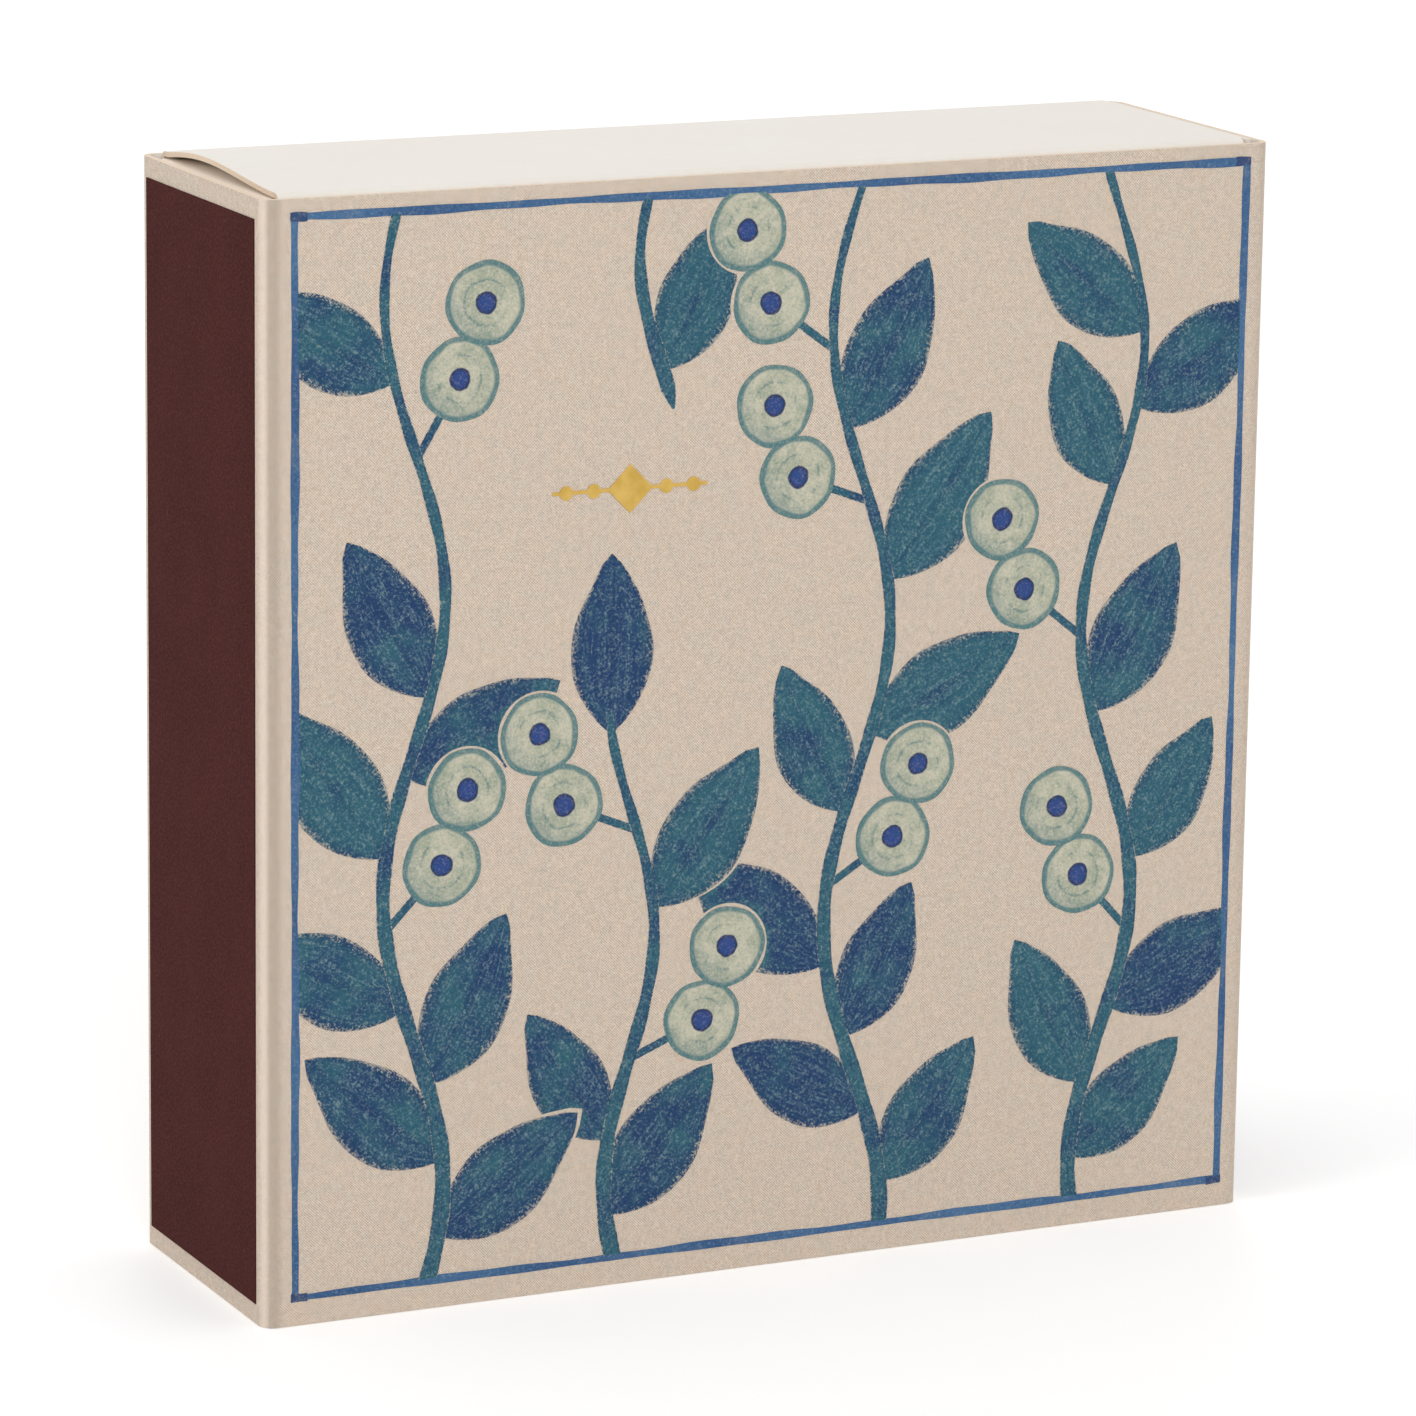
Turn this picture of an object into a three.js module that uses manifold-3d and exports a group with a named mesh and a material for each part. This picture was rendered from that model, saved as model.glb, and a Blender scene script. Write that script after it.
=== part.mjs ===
// A square matchbox standing on one open end: a printed card sleeve with a striker down each narrow
// side, and inside it a folded card tray of long wooden matches that pushes out along Z.
// Millimetres, +Z up. The printed front faces -Y, the back is at +Y, and the origin is the middle of
// the foot that the box stands on.
import * as THREE from "three";
import { mergeVertices } from "three/addons/utils/BufferGeometryUtils.js";
import Module from "manifold-3d";

const wasm = await Module();
wasm.setup();

// Sleeve: one strip of card folded round four corners, its glue flap stuck inside one narrow side.
const sleeve = {
  height: 110,
  width: 108,
  depth: 32,
  card: 0.6,
  foldRadius: 1.5,
  flapInset: 3,
};

// Striking strips on both narrow sides.
const striker = { margin: 2, thickness: 0.12, cornerRadius: 0.4 };

// Tray: floor, two side walls, and end walls rolled over the corner tabs.
const tray = {
  card: 0.5,
  runningClearance: 0.35,
  proud: 0.4,
  foldRadius: 0.8,
  tabGap: 0.2,
  tabLength: 16,
  sideGap: 0.5,
  foldSteps: 4,
  rollSteps: 8,
};

// The free left edge of the upper end wall bows up a little over its corner tab.
const bow = { rise: 0.9, reach: 22, peak: 0.62, steps: 8, rows: 10 };

// Matches: one loose top row over a bed of the rows below it.
const match = {
  stick: 2.2,
  length: 98,
  lengthSpread: 0.8,
  headRadius: 1.35,
  headLength: 5,
  headDrop: 1.5,
  headSides: 8,
  headRings: 4,
  pitch: 2.96,
  bedRows: 4,
  seat: 0.3,
};

// Print: a drawn border line, climbing vines with plain leaves, round fruits and a foil ornament.
const print = { ink: 0.05, foil: 0.08, gap: 0.3 };
const border = {
  left: 2.8,
  right: 2.3,
  top: 1.3,
  bottom: 2.4,
  line: 0.8,
  waver: 0.12,
  innerWaver: 0.24,
  pieces: 8,
};
const field = { cornerRadius: 0.5 };
const stem = { footWidth: 1.8, tipWidth: 0.9, stations: 26, twigWidth: 0.8 };
const leaf = {
  length: 17.5,
  width: 8.8,
  angle: 50,
  bend: 1.6,
  belly: 0.85,
  firstShoot: 4,
  lastShoot: 3.2,
  pitch: 7.7,
  samples: 7,
  growth: 0.2,
};
const fruit = { radius: 4.1, sides: 20, overlap: 0.5, twig: 4.4, lean: 70 };

const frameLeft = -sleeve.width / 2 + border.left;
const frameRight = sleeve.width / 2 - border.right;
const frameLow = border.bottom;
const frameHigh = sleeve.height - border.top;

// Each vine: where it stands across the front, its swing and wave, where it starts above the frame's
// foot and stops below the frame's top, whether a leaf ends it, and at which of its side shoots,
// counted from the foot, a pair of fruits takes a leaf's place.
const vines = [
  {
    name: "vine_left",
    x: frameLeft + 12.7,
    swing: 3.2,
    wave: 58,
    phase: 0.2,
    foot: 0,
    drop: 0,
    tipLeaf: false,
    fruits: [4, 10],
  },
  {
    name: "vine_short",
    x: -15.5,
    swing: 2.6,
    wave: 50,
    phase: 3.4,
    foot: 0,
    drop: 50.7,
    tipLeaf: true,
    fruits: [2, 5],
  },
  {
    name: "vine_upper",
    x: -13,
    swing: 2.2,
    wave: 40,
    phase: 1.2,
    foot: frameHigh - 24.7,
    drop: 0,
    tipLeaf: false,
    fruits: [],
  },
  {
    name: "vine_middle",
    x: 9,
    swing: 3.4,
    wave: 60,
    phase: 1.1,
    foot: 0,
    drop: 0,
    tipLeaf: false,
    fruits: [4, 9, 11],
  },
  {
    name: "vine_right",
    x: frameRight - 14.7,
    swing: 3.2,
    wave: 56,
    phase: 4,
    foot: 0,
    drop: 0,
    tipLeaf: false,
    fruits: [3, 7],
  },
];

// The foil ornament stands in a clear space that the leaves keep out of.
const ornament = {
  x: -16,
  z: frameHigh - 28.7,
  lozenge: 2.4,
  dot: 0.7,
  dotSides: 8,
  dots: 2,
  spacing: 2.9,
  link: 0.35,
  clearBeside: 1,
  clearAbove: 6,
};

const palette = {
  card: 0xcbbcaa,
  tray: 0xe8e4db,
  striker: 0x4e2a28,
  border: 0x3c5a8c,
  vine: 0x28647d,
  fruit: 0xb9bea5,
  foil: 0xc9a54a,
  wood: 0xe3c79b,
};

// Straight steps in each quarter turn of a rounded corner.
const cornerSteps = 6;

// The glue flap doubles the right-hand wall, so three cards stand across the sleeve's width and the
// tray sits half a card to the left.
const halfWidth = sleeve.width / 2;
const halfDepth = sleeve.depth / 2;
const trayWidth = sleeve.width - 3 * sleeve.card - 2 * tray.runningClearance;
const trayDepth = sleeve.depth - 2 * sleeve.card - 2 * tray.runningClearance;
const trayLength = sleeve.height + tray.proud;
const trayCentreX = -sleeve.card / 2;
const layerDrop = tray.card + tray.tabGap;

// How far each folded end runs down into the wall that it grows from.
const foldLeg = 3 * tray.foldRadius;

function material(color, roughness, metalness = 0) {
  return new THREE.MeshStandardMaterial({ color, roughness, metalness });
}

function toSolid(geometry) {
  const bare = geometry.clone();
  bare.deleteAttribute("normal");
  bare.deleteAttribute("uv");
  const merged = mergeVertices(bare, 1e-4);
  return new wasm.Manifold(
    new wasm.Mesh({
      numProp: 3,
      vertProperties: merged.attributes.position.array,
      triVerts: new Uint32Array(merged.index.array),
    }),
  );
}

function toGeometry(solid) {
  const mesh = solid.getMesh();
  const geometry = new THREE.BufferGeometry();
  geometry.setAttribute("position", new THREE.BufferAttribute(mesh.vertProperties, 3));
  geometry.setIndex(new THREE.BufferAttribute(mesh.triVerts, 1));
  geometry.computeVertexNormals();
  return geometry;
}

function joined(geometries) {
  return geometries.map(toSolid).reduce((whole, piece) => whole.add(piece));
}

function extruded(shape, depth, options = {}) {
  const settings = { depth, bevelEnabled: false, curveSegments: cornerSteps, ...options };
  return new THREE.ExtrudeGeometry(shape, settings);
}

function named(name, geometry, look) {
  const mesh = new THREE.Mesh(geometry, look);
  mesh.name = name;
  return mesh;
}

// The points of a rectangle with round corners, corner by corner from the upper right.
function roundedRectangle(left, right, low, high, radius) {
  const path = new THREE.Path();
  path.absarc(right - radius, high - radius, radius, 0, Math.PI / 2);
  path.absarc(left + radius, high - radius, radius, Math.PI / 2, Math.PI);
  path.absarc(left + radius, low + radius, radius, Math.PI, 1.5 * Math.PI);
  path.absarc(right - radius, low + radius, radius, 1.5 * Math.PI, 2 * Math.PI);
  return path.getPoints(cornerSteps);
}

// A band of a given width along a line of points, with mitred corners: one side out, the other back.
function band(points, widthAt) {
  const normals = points.slice(1).map((point, i) => {
    const along = point.clone().sub(points[i]).normalize();
    return new THREE.Vector2(-along.y, along.x);
  });
  const sides = [[], []];
  points.forEach((point, i) => {
    const before = normals[Math.max(i - 1, 0)];
    const after = normals[Math.min(i, normals.length - 1)];
    const across = before.clone().add(after);
    across.multiplyScalar(widthAt(i) / 2 / (1 + before.dot(after)));
    sides[0].push(point.clone().sub(across));
    sides[1].unshift(point.clone().add(across));
  });
  return new THREE.Shape([...sides[0], ...sides[1]]);
}

function sleeveMesh() {
  const { width, depth, card, foldRadius, flapInset, height } = sleeve;
  const outside = roundedRectangle(-halfWidth, halfWidth, -halfDepth, halfDepth, foldRadius);
  const outline = new THREE.Shape(outside);
  const inside = roundedRectangle(
    -halfWidth + card,
    halfWidth - card,
    -halfDepth + card,
    halfDepth - card,
    foldRadius - card,
  );
  outline.holes.push(new THREE.Path(inside));
  const tube = extruded(outline, height);
  const flap = new THREE.BoxGeometry(2 * card, depth - card - flapInset, height);
  flap.translate(width / 2 - card, (flapInset - card) / 2, height / 2);
  return named("sleeve", toGeometry(joined([tube, flap])), material(palette.card, 0.85));
}

function strikerMesh(name) {
  const half = halfDepth - striker.margin;
  const low = striker.margin;
  const high = sleeve.height - striker.margin;
  const strip = new THREE.Shape(roundedRectangle(-half, half, low, high, striker.cornerRadius));
  return named(name, extruded(strip, striker.thickness), material(palette.striker, 0.9));
}

// The end wall seen from the side: up from the floor, across to the rim, and rolled back inside.
function endWallLine() {
  const lift = tray.card / 2;
  const roll = (tray.card + 2 * tray.tabGap + tray.card) / 2;
  const back = trayDepth / 2 - lift;
  const rim = -trayDepth / 2 + roll + lift;
  const turn = tray.foldRadius - lift;
  const line = [new THREE.Vector2(back, -foldLeg)];
  for (let i = 0; i <= tray.foldSteps; i += 1) {
    const angle = (Math.PI / 2) * (i / tray.foldSteps);
    const sideways = back - turn + turn * Math.cos(angle);
    line.push(new THREE.Vector2(sideways, -lift - turn + turn * Math.sin(angle)));
  }
  for (let i = 1; i < bow.rows; i += 1) {
    line.push(new THREE.Vector2(THREE.MathUtils.lerp(back - turn, rim, i / bow.rows), -lift));
  }
  for (let i = 0; i <= tray.rollSteps; i += 1) {
    const angle = Math.PI / 2 + Math.PI * (i / tray.rollSteps);
    line.push(new THREE.Vector2(rim + roll * Math.cos(angle), -lift - roll + roll * Math.sin(angle)));
  }
  line.push(new THREE.Vector2(back - lift - tray.tabGap, -lift - 2 * roll));
  return line;
}

// An end wall with its outer face on local z = 0, divided across the tray at the given stations.
function endWall(stations) {
  const steps = stations.length - 1;
  const geometry = extruded(band(endWallLine(), () => tray.card), steps, { steps });
  const depths = geometry.attributes.position;
  for (let i = 0; i < depths.count; i += 1) depths.setZ(i, stations[Math.round(depths.getZ(i))]);
  // The band lies in local XY: its x runs along the tray's depth, its y along the tray's length.
  geometry.applyMatrix4(
    new THREE.Matrix4().makeBasis(
      new THREE.Vector3(0, 1, 0),
      new THREE.Vector3(0, 0, 1),
      new THREE.Vector3(1, 0, 0),
    ),
  );
  return geometry;
}

// Lifts the free left corner of the outer leaf, most at its edge and a little behind its middle.
function bowed(geometry) {
  const position = geometry.attributes.position;
  const half = trayDepth / 2 - 2 * tray.foldRadius;
  const left = -trayWidth / 2 + tray.card + tray.sideGap;
  const underLeaf = -tray.card - tray.tabGap / 2;
  for (let i = 0; i < position.count; i += 1) {
    const along = (position.getY(i) + half) / (2 * half);
    const onOuterLeaf = position.getZ(i) > underLeaf && along > 0 && along < 1;
    if (!onOuterLeaf) continue;
    const toEdge = Math.max(0, (left + bow.reach - position.getX(i)) / bow.reach);
    const skew = along ** (Math.log(0.5) / Math.log(bow.peak));
    position.setZ(i, position.getZ(i) + bow.rise * toEdge ** 2 * Math.sin(Math.PI * skew));
  }
  return geometry;
}

// A side wall's corner tab: the wall turns in at its end and lies under the outer leaf of the end wall.
function cornerTab(side) {
  const lift = tray.card / 2;
  const turn = tray.foldRadius - lift;
  const wall = trayWidth / 2 - lift;
  const level = -layerDrop - lift;
  const line = [new THREE.Vector2(wall, level - foldLeg)];
  for (let i = 0; i <= tray.foldSteps; i += 1) {
    const angle = (Math.PI / 2) * (i / tray.foldSteps);
    const sideways = wall - turn + turn * Math.cos(angle);
    line.push(new THREE.Vector2(sideways, level - turn + turn * Math.sin(angle)));
  }
  line.push(new THREE.Vector2(wall - tray.tabLength, level));
  const front = -trayDepth / 2 + 2 * tray.card + tray.tabGap;
  const back = trayDepth / 2 - tray.foldRadius - tray.tabGap;
  const geometry = extruded(band(line, () => tray.card), back - front);
  // The band's x runs across the tray and its y along the tray's length; the depth turns to +Y.
  geometry.applyMatrix4(
    new THREE.Matrix4().makeBasis(
      new THREE.Vector3(1, 0, 0),
      new THREE.Vector3(0, 0, 1),
      new THREE.Vector3(0, -1, 0),
    ),
  );
  geometry.translate(0, back, 0);
  return side > 0 ? toSolid(geometry) : toSolid(geometry).mirror([1, 0, 0]);
}

function trayMesh() {
  const { card, foldRadius, sideGap } = tray;
  const outer = trayWidth / 2;
  const rim = -trayDepth / 2;
  const floor = trayDepth / 2;
  const section = new THREE.Shape();
  section.moveTo(-outer, rim);
  section.lineTo(-outer + card, rim);
  section.lineTo(-outer + card, floor - foldRadius);
  section.absarc(-outer + foldRadius, floor - foldRadius, foldRadius - card, Math.PI, Math.PI / 2, true);
  section.lineTo(outer - foldRadius, floor - card);
  section.absarc(outer - foldRadius, floor - foldRadius, foldRadius - card, Math.PI / 2, 0, true);
  section.lineTo(outer - card, rim);
  section.lineTo(outer, rim);
  section.lineTo(outer, floor - foldRadius);
  section.absarc(outer - foldRadius, floor - foldRadius, foldRadius, 0, Math.PI / 2);
  section.lineTo(-outer + foldRadius, floor);
  section.absarc(-outer + foldRadius, floor - foldRadius, foldRadius, Math.PI / 2, Math.PI);
  const cut = layerDrop + foldRadius;
  const walls = extruded(section, trayLength - 2 * cut);
  walls.translate(0, 0, cut);

  const left = -outer + card + sideGap;
  const right = outer - card - sideGap;
  const stations = [right];
  for (let i = bow.steps; i >= 0; i -= 1) stations.unshift(left + (bow.reach * i) / bow.steps);
  const plainEnd = toSolid(endWall([left, right]));
  const bowedEnd = toSolid(bowed(endWall(stations)));
  const tabs = cornerTab(1).add(cornerTab(-1));
  const upper = bowedEnd.add(tabs).translate([0, 0, trayLength]);
  const lower = plainEnd.add(tabs).mirror([0, 0, 1]);
  const whole = toSolid(walls).add(upper).add(lower);
  return named("tray", toGeometry(whole), material(palette.tray, 0.8));
}

// A small repeatable offset for hand-made unevenness.
function unevenness(index) {
  const wave = Math.sin(index * 12.9898 + 4.1414) * 43758.5453;
  return wave - Math.floor(wave) - 0.5;
}

function stickAndHead(length) {
  const rings = match.headRings;
  const stick = new THREE.BoxGeometry(match.stick, match.stick, length);
  stick.translate(0, 0, length / 2);
  const profile = [];
  for (let i = 0; i <= rings; i += 1) {
    const angle = -Math.PI / 2 + Math.PI * (i / rings);
    const radius = i === 0 || i === rings ? 0 : match.headRadius * Math.cos(angle);
    profile.push(new THREE.Vector2(radius, (match.headLength / 2) * Math.sin(angle)));
  }
  const head = new THREE.LatheGeometry(profile, match.headSides);
  head.rotateX(Math.PI / 2);
  head.translate(0, 0, length - match.headDrop);
  return toSolid(stick).add(toSolid(head));
}

const matchColumns = Math.floor((trayWidth - 2 * tray.card - 2 * match.seat) / match.pitch);
const matchFoot = 2 * layerDrop + tray.card + match.seat;
const floorInside = trayDepth / 2 - tray.card;

function columnX(column) {
  return (column - (matchColumns - 1) / 2) * match.pitch;
}

function rowY(row) {
  return floorInside - match.seat - match.headRadius - row * match.pitch;
}

function matchMeshes() {
  const look = material(palette.wood, 0.75);
  const meshes = [];
  for (let column = 0; column < matchColumns; column += 1) {
    const length = match.length + match.lengthSpread * unevenness(column);
    const name = "match_" + String(column + 1).padStart(2, "0");
    const mesh = named(name, toGeometry(stickAndHead(length)), look);
    mesh.position.set(columnX(column), rowY(match.bedRows), matchFoot);
    meshes.push(mesh);
  }
  return meshes;
}

// The rows under the loose one, packed into one bed: ridged along the sticks, with rows of heads.
function matchBedMesh() {
  const top = rowY(match.bedRows - 1) - match.stick / 2;
  const bottom = rowY(0) + match.stick / 2;
  const half = match.stick / 2;
  const groove = top + half;
  const outline = [new THREE.Vector2(columnX(matchColumns - 1) + half, bottom)];
  outline.push(new THREE.Vector2(columnX(0) - half, bottom));
  for (let column = 0; column < matchColumns; column += 1) {
    const x = columnX(column);
    outline.push(new THREE.Vector2(x - half, top));
    outline.push(new THREE.Vector2(x + half, top));
    if (column === matchColumns - 1) continue;
    outline.push(new THREE.Vector2(x + half, groove));
    outline.push(new THREE.Vector2(x + match.pitch - half, groove));
  }
  const heads = [];
  for (let row = 0; row < match.bedRows; row += 1) {
    for (let column = 0; column < matchColumns; column += 1) {
      const head = new THREE.OctahedronGeometry(match.headRadius, 0);
      head.scale(1, 1, match.headLength / 2 / match.headRadius);
      head.translate(columnX(column), rowY(row), match.length - match.headDrop);
      heads.push(head);
    }
  }
  const block = extruded(new THREE.Shape(outline), match.length - match.headLength / 2);
  const mesh = named("match_bed", toGeometry(joined([block, ...heads])), material(palette.wood, 0.75));
  mesh.position.z = matchFoot;
  return mesh;
}

// The drawn frame on the front, with a slightly uneven line as a brush leaves it.
function wavering(left, right, low, high, amount) {
  const points = [];
  const corners = [
    [left, low],
    [right, low],
    [right, high],
    [left, high],
  ];
  const { pieces } = border;
  corners.forEach(([x, z], side) => {
    const [nextX, nextZ] = corners[(side + 1) % corners.length];
    for (let i = 0; i < pieces; i += 1) {
      const offset = i === 0 ? 0 : amount * unevenness(side * pieces + i);
      const t = i / pieces;
      const sideways = side % 2 === 0 ? [0, offset] : [offset, 0];
      points.push(
        new THREE.Vector2(
          THREE.MathUtils.lerp(x, nextX, t) + sideways[0],
          THREE.MathUtils.lerp(z, nextZ, t) + sideways[1],
        ),
      );
    }
  });
  return points;
}

function borderMesh() {
  const { line, waver, innerWaver } = border;
  const outline = new THREE.Shape(wavering(frameLeft, frameRight, frameLow, frameHigh, waver));
  const inner = wavering(
    frameLeft + line,
    frameRight - line,
    frameLow + line,
    frameHigh - line,
    innerWaver,
  );
  outline.holes.push(new THREE.Path(inner));
  return named("print_border", extruded(outline, print.ink), material(palette.border, 0.8));
}

function vineEnds(vine) {
  return { foot: frameLow + border.line + print.gap + vine.foot, top: frameHigh - vine.drop };
}

function stemPoint(vine, z) {
  return new THREE.Vector2(vine.x + vine.swing * Math.sin((2 * Math.PI * z) / vine.wave + vine.phase), z);
}

// A plain almond leaf from its stalk to its tip, bent a little to one side.
function leafShape(base, direction, size, side) {
  const length = leaf.length * size.scale + 2 * size.grow;
  const width = leaf.width * size.scale + 2 * size.grow;
  const bend = side * leaf.bend;
  const along = new THREE.Vector2(Math.cos(direction), Math.sin(direction));
  const across = new THREE.Vector2(-along.y, along.x);
  const place = (t, offset) =>
    base
      .clone()
      .addScaledVector(along, t * length)
      .addScaledVector(across, bend * t * t + offset);
  const edges = [[], []];
  for (let i = 0; i <= leaf.samples; i += 1) {
    const t = i / leaf.samples;
    const stalk = stem.tipWidth / 2;
    const swell = (width / 2 - stalk) * Math.sin(Math.PI * t ** leaf.belly);
    const half = i === leaf.samples ? 0 : stalk + swell;
    edges[0].push(place(t, -half));
    if (half > 0) edges[1].unshift(place(t, half));
  }
  return new THREE.Shape([...edges[0], ...edges[1]]);
}

function reachesOrnament(shoot) {
  const tipX = shoot.base.x + leaf.length * Math.cos(shoot.angle);
  const tipZ = shoot.base.y + leaf.length * Math.sin(shoot.angle);
  const reach = ornament.lozenge + ornament.dots * ornament.spacing;
  const beside = Math.abs(tipX - ornament.x) < reach + ornament.clearBeside;
  return beside && Math.abs(tipZ - ornament.z) < ornament.clearAbove;
}

// Where a vine's side shoots stand: a leaf or a fruit twig every leaf pitch, on alternate sides.
function shoots(vine) {
  const list = [];
  const { foot, top } = vineEnds(vine);
  const first = foot + leaf.firstShoot;
  const count = Math.floor((top - leaf.lastShoot - first) / leaf.pitch);
  for (let i = 0; i < count; i += 1) {
    const z = first + i * leaf.pitch;
    const base = stemPoint(vine, z);
    const ahead = stemPoint(vine, z + 1).sub(base);
    const side = i % 2 === 0 ? 1 : -1;
    const climb = Math.atan2(ahead.y, ahead.x);
    const angle = climb - side * THREE.MathUtils.degToRad(leaf.angle);
    const scale = 1 + leaf.growth * unevenness(i + vine.x);
    const shoot = { base, side, angle, scale, fruits: vine.fruits.includes(i) };
    if (!reachesOrnament(shoot)) list.push(shoot);
  }
  return list;
}

// A pair of fruits at the end of a twig, the second one above the first and leaning out.
function fruitCentres(shoot) {
  const along = new THREE.Vector2(Math.cos(shoot.angle), Math.sin(shoot.angle));
  const first = shoot.base.clone().addScaledVector(along, fruit.twig + fruit.radius);
  const step = 2 * fruit.radius - fruit.overlap;
  const lean = THREE.MathUtils.degToRad(fruit.lean);
  const outwards = new THREE.Vector2(shoot.side * Math.cos(lean), Math.sin(lean));
  return [first, first.clone().addScaledVector(outwards, step)];
}

function disc(centre, radius, sides) {
  const points = [];
  for (let i = 0; i < sides; i += 1) {
    const angle = (2 * Math.PI * i) / sides;
    const turned = new THREE.Vector2(Math.cos(angle), Math.sin(angle));
    points.push(centre.clone().addScaledVector(turned, radius));
  }
  return new THREE.Shape(points);
}

function inField(solid, depth) {
  const inset = border.line + border.waver + print.gap;
  const outline = roundedRectangle(
    frameLeft + inset,
    frameRight - inset,
    frameLow + inset,
    frameHigh - inset,
    field.cornerRadius,
  );
  return solid.intersect(toSolid(extruded(new THREE.Shape(outline), depth)));
}

function vineSolid(vine, grow) {
  const { foot, top } = vineEnds(vine);
  const line = [];
  for (let i = 0; i <= stem.stations; i += 1) {
    line.push(stemPoint(vine, THREE.MathUtils.lerp(foot, top, i / stem.stations)));
  }
  const widthAt = (i) => 2 * grow + THREE.MathUtils.lerp(stem.footWidth, stem.tipWidth, i / stem.stations);
  const pieces = [extruded(band(line, widthAt), print.ink)];
  shoots(vine).forEach((shoot) => {
    if (shoot.fruits) {
      const [end] = fruitCentres(shoot);
      pieces.push(extruded(band([shoot.base, end], () => stem.twigWidth + 2 * grow), print.ink));
      return;
    }
    const shape = leafShape(shoot.base, shoot.angle, { scale: shoot.scale, grow }, shoot.side);
    pieces.push(extruded(shape, print.ink));
  });
  if (vine.tipLeaf) {
    const tip = stemPoint(vine, top - stem.footWidth);
    pieces.push(extruded(leafShape(tip, Math.PI / 2, { scale: 1, grow }, 0), print.ink));
  }
  return joined(pieces);
}

function fruitSolid(shoot, grow) {
  const discs = fruitCentres(shoot).map((centre) =>
    extruded(disc(centre, fruit.radius + grow, fruit.sides), print.ink),
  );
  return joined(discs);
}

// Each vine leaves a bare gap round the fruits and round the vines drawn before it.
function printMeshes() {
  const clusters = vines.flatMap((vine) => shoots(vine).filter((shoot) => shoot.fruits));
  let taken = clusters.map((shoot) => fruitSolid(shoot, print.gap)).reduce((all, next) => all.add(next));
  const meshes = vines.map((vine) => {
    const solid = inField(vineSolid(vine, 0).subtract(taken), print.ink);
    taken = taken.add(vineSolid(vine, print.gap));
    const [largest] = solid.decompose().sort((a, b) => b.volume() - a.volume());
    return named("print_" + vine.name, toGeometry(largest), material(palette.vine, 0.8));
  });
  clusters.forEach((shoot, i) => {
    const solid = inField(fruitSolid(shoot, 0), print.ink);
    meshes.push(named("print_fruits_" + (i + 1), toGeometry(solid), material(palette.fruit, 0.8)));
  });
  return meshes;
}

// A lozenge with a line of dots to each side, all on one thin rule, stamped in foil.
function ornamentMesh() {
  const { x, z, lozenge, dot, dots, spacing, link } = ornament;
  const reach = lozenge + dots * spacing;
  const rule = new THREE.Shape([
    new THREE.Vector2(x - reach, z - link / 2),
    new THREE.Vector2(x + reach, z - link / 2),
    new THREE.Vector2(x + reach, z + link / 2),
    new THREE.Vector2(x - reach, z + link / 2),
  ]);
  const middle = new THREE.Shape([
    new THREE.Vector2(x - lozenge, z),
    new THREE.Vector2(x, z - lozenge),
    new THREE.Vector2(x + lozenge, z),
    new THREE.Vector2(x, z + lozenge),
  ]);
  const pieces = [rule, middle];
  for (let i = 1; i <= dots; i += 1) {
    [-1, 1].forEach((side) => {
      const centre = new THREE.Vector2(x + side * (lozenge + (i - 0.5) * spacing), z);
      pieces.push(disc(centre, dot, ornament.dotSides));
    });
  }
  const solid = joined(pieces.map((shape) => extruded(shape, print.foil)));
  return named("foil_ornament", toGeometry(solid), material(palette.foil, 0.3, 1));
}

const matchbox = new THREE.Group();
matchbox.add(sleeveMesh());

// Strip outlines stand in local XY with their thickness along local Z, so they turn to face X.
const leftSide = new THREE.Group();
leftSide.position.x = -halfWidth;
leftSide.rotation.set(Math.PI / 2, -Math.PI / 2, 0);
leftSide.add(strikerMesh("striker_left"));
const rightSide = new THREE.Group();
rightSide.position.x = halfWidth;
rightSide.rotation.set(Math.PI / 2, Math.PI / 2, 0);
rightSide.add(strikerMesh("striker_right"));
matchbox.add(leftSide, rightSide);

// Print outlines are drawn as seen from the front, with their height along local Y.
const front = new THREE.Group();
front.position.y = -halfDepth;
front.rotation.x = Math.PI / 2;
front.add(borderMesh(), ...printMeshes(), ornamentMesh());
matchbox.add(front);

const drawer = new THREE.Group();
drawer.position.x = trayCentreX;
drawer.add(trayMesh(), matchBedMesh(), ...matchMeshes());
matchbox.add(drawer);

export default matchbox;
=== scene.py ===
# %% [markdown]
# A matchbox, dressed for its portrait
#
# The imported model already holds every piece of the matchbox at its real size. This lesson gives each
# of them its finish. It loads that model as a fixed frame and leaves it where it is. A finer mesh
# takes a piece's place only where the plain solid would look too simple.

# %% Loading the frame
import math

import bmesh
import bpy
from mathutils import Matrix, Vector


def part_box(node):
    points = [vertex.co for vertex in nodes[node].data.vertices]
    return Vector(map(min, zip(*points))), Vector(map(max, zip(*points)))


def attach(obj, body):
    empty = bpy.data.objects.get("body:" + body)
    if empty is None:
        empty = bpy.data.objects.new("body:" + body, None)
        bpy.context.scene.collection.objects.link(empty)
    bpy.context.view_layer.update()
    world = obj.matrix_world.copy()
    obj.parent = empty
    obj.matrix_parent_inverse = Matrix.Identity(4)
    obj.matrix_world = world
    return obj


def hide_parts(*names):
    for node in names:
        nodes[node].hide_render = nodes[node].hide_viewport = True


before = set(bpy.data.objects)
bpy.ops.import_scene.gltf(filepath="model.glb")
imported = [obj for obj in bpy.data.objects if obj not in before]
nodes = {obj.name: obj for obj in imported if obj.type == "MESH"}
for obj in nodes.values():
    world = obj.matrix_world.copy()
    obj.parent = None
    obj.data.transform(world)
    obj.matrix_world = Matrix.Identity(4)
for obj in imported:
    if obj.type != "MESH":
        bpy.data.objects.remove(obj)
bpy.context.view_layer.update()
MM = 0.001

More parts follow.
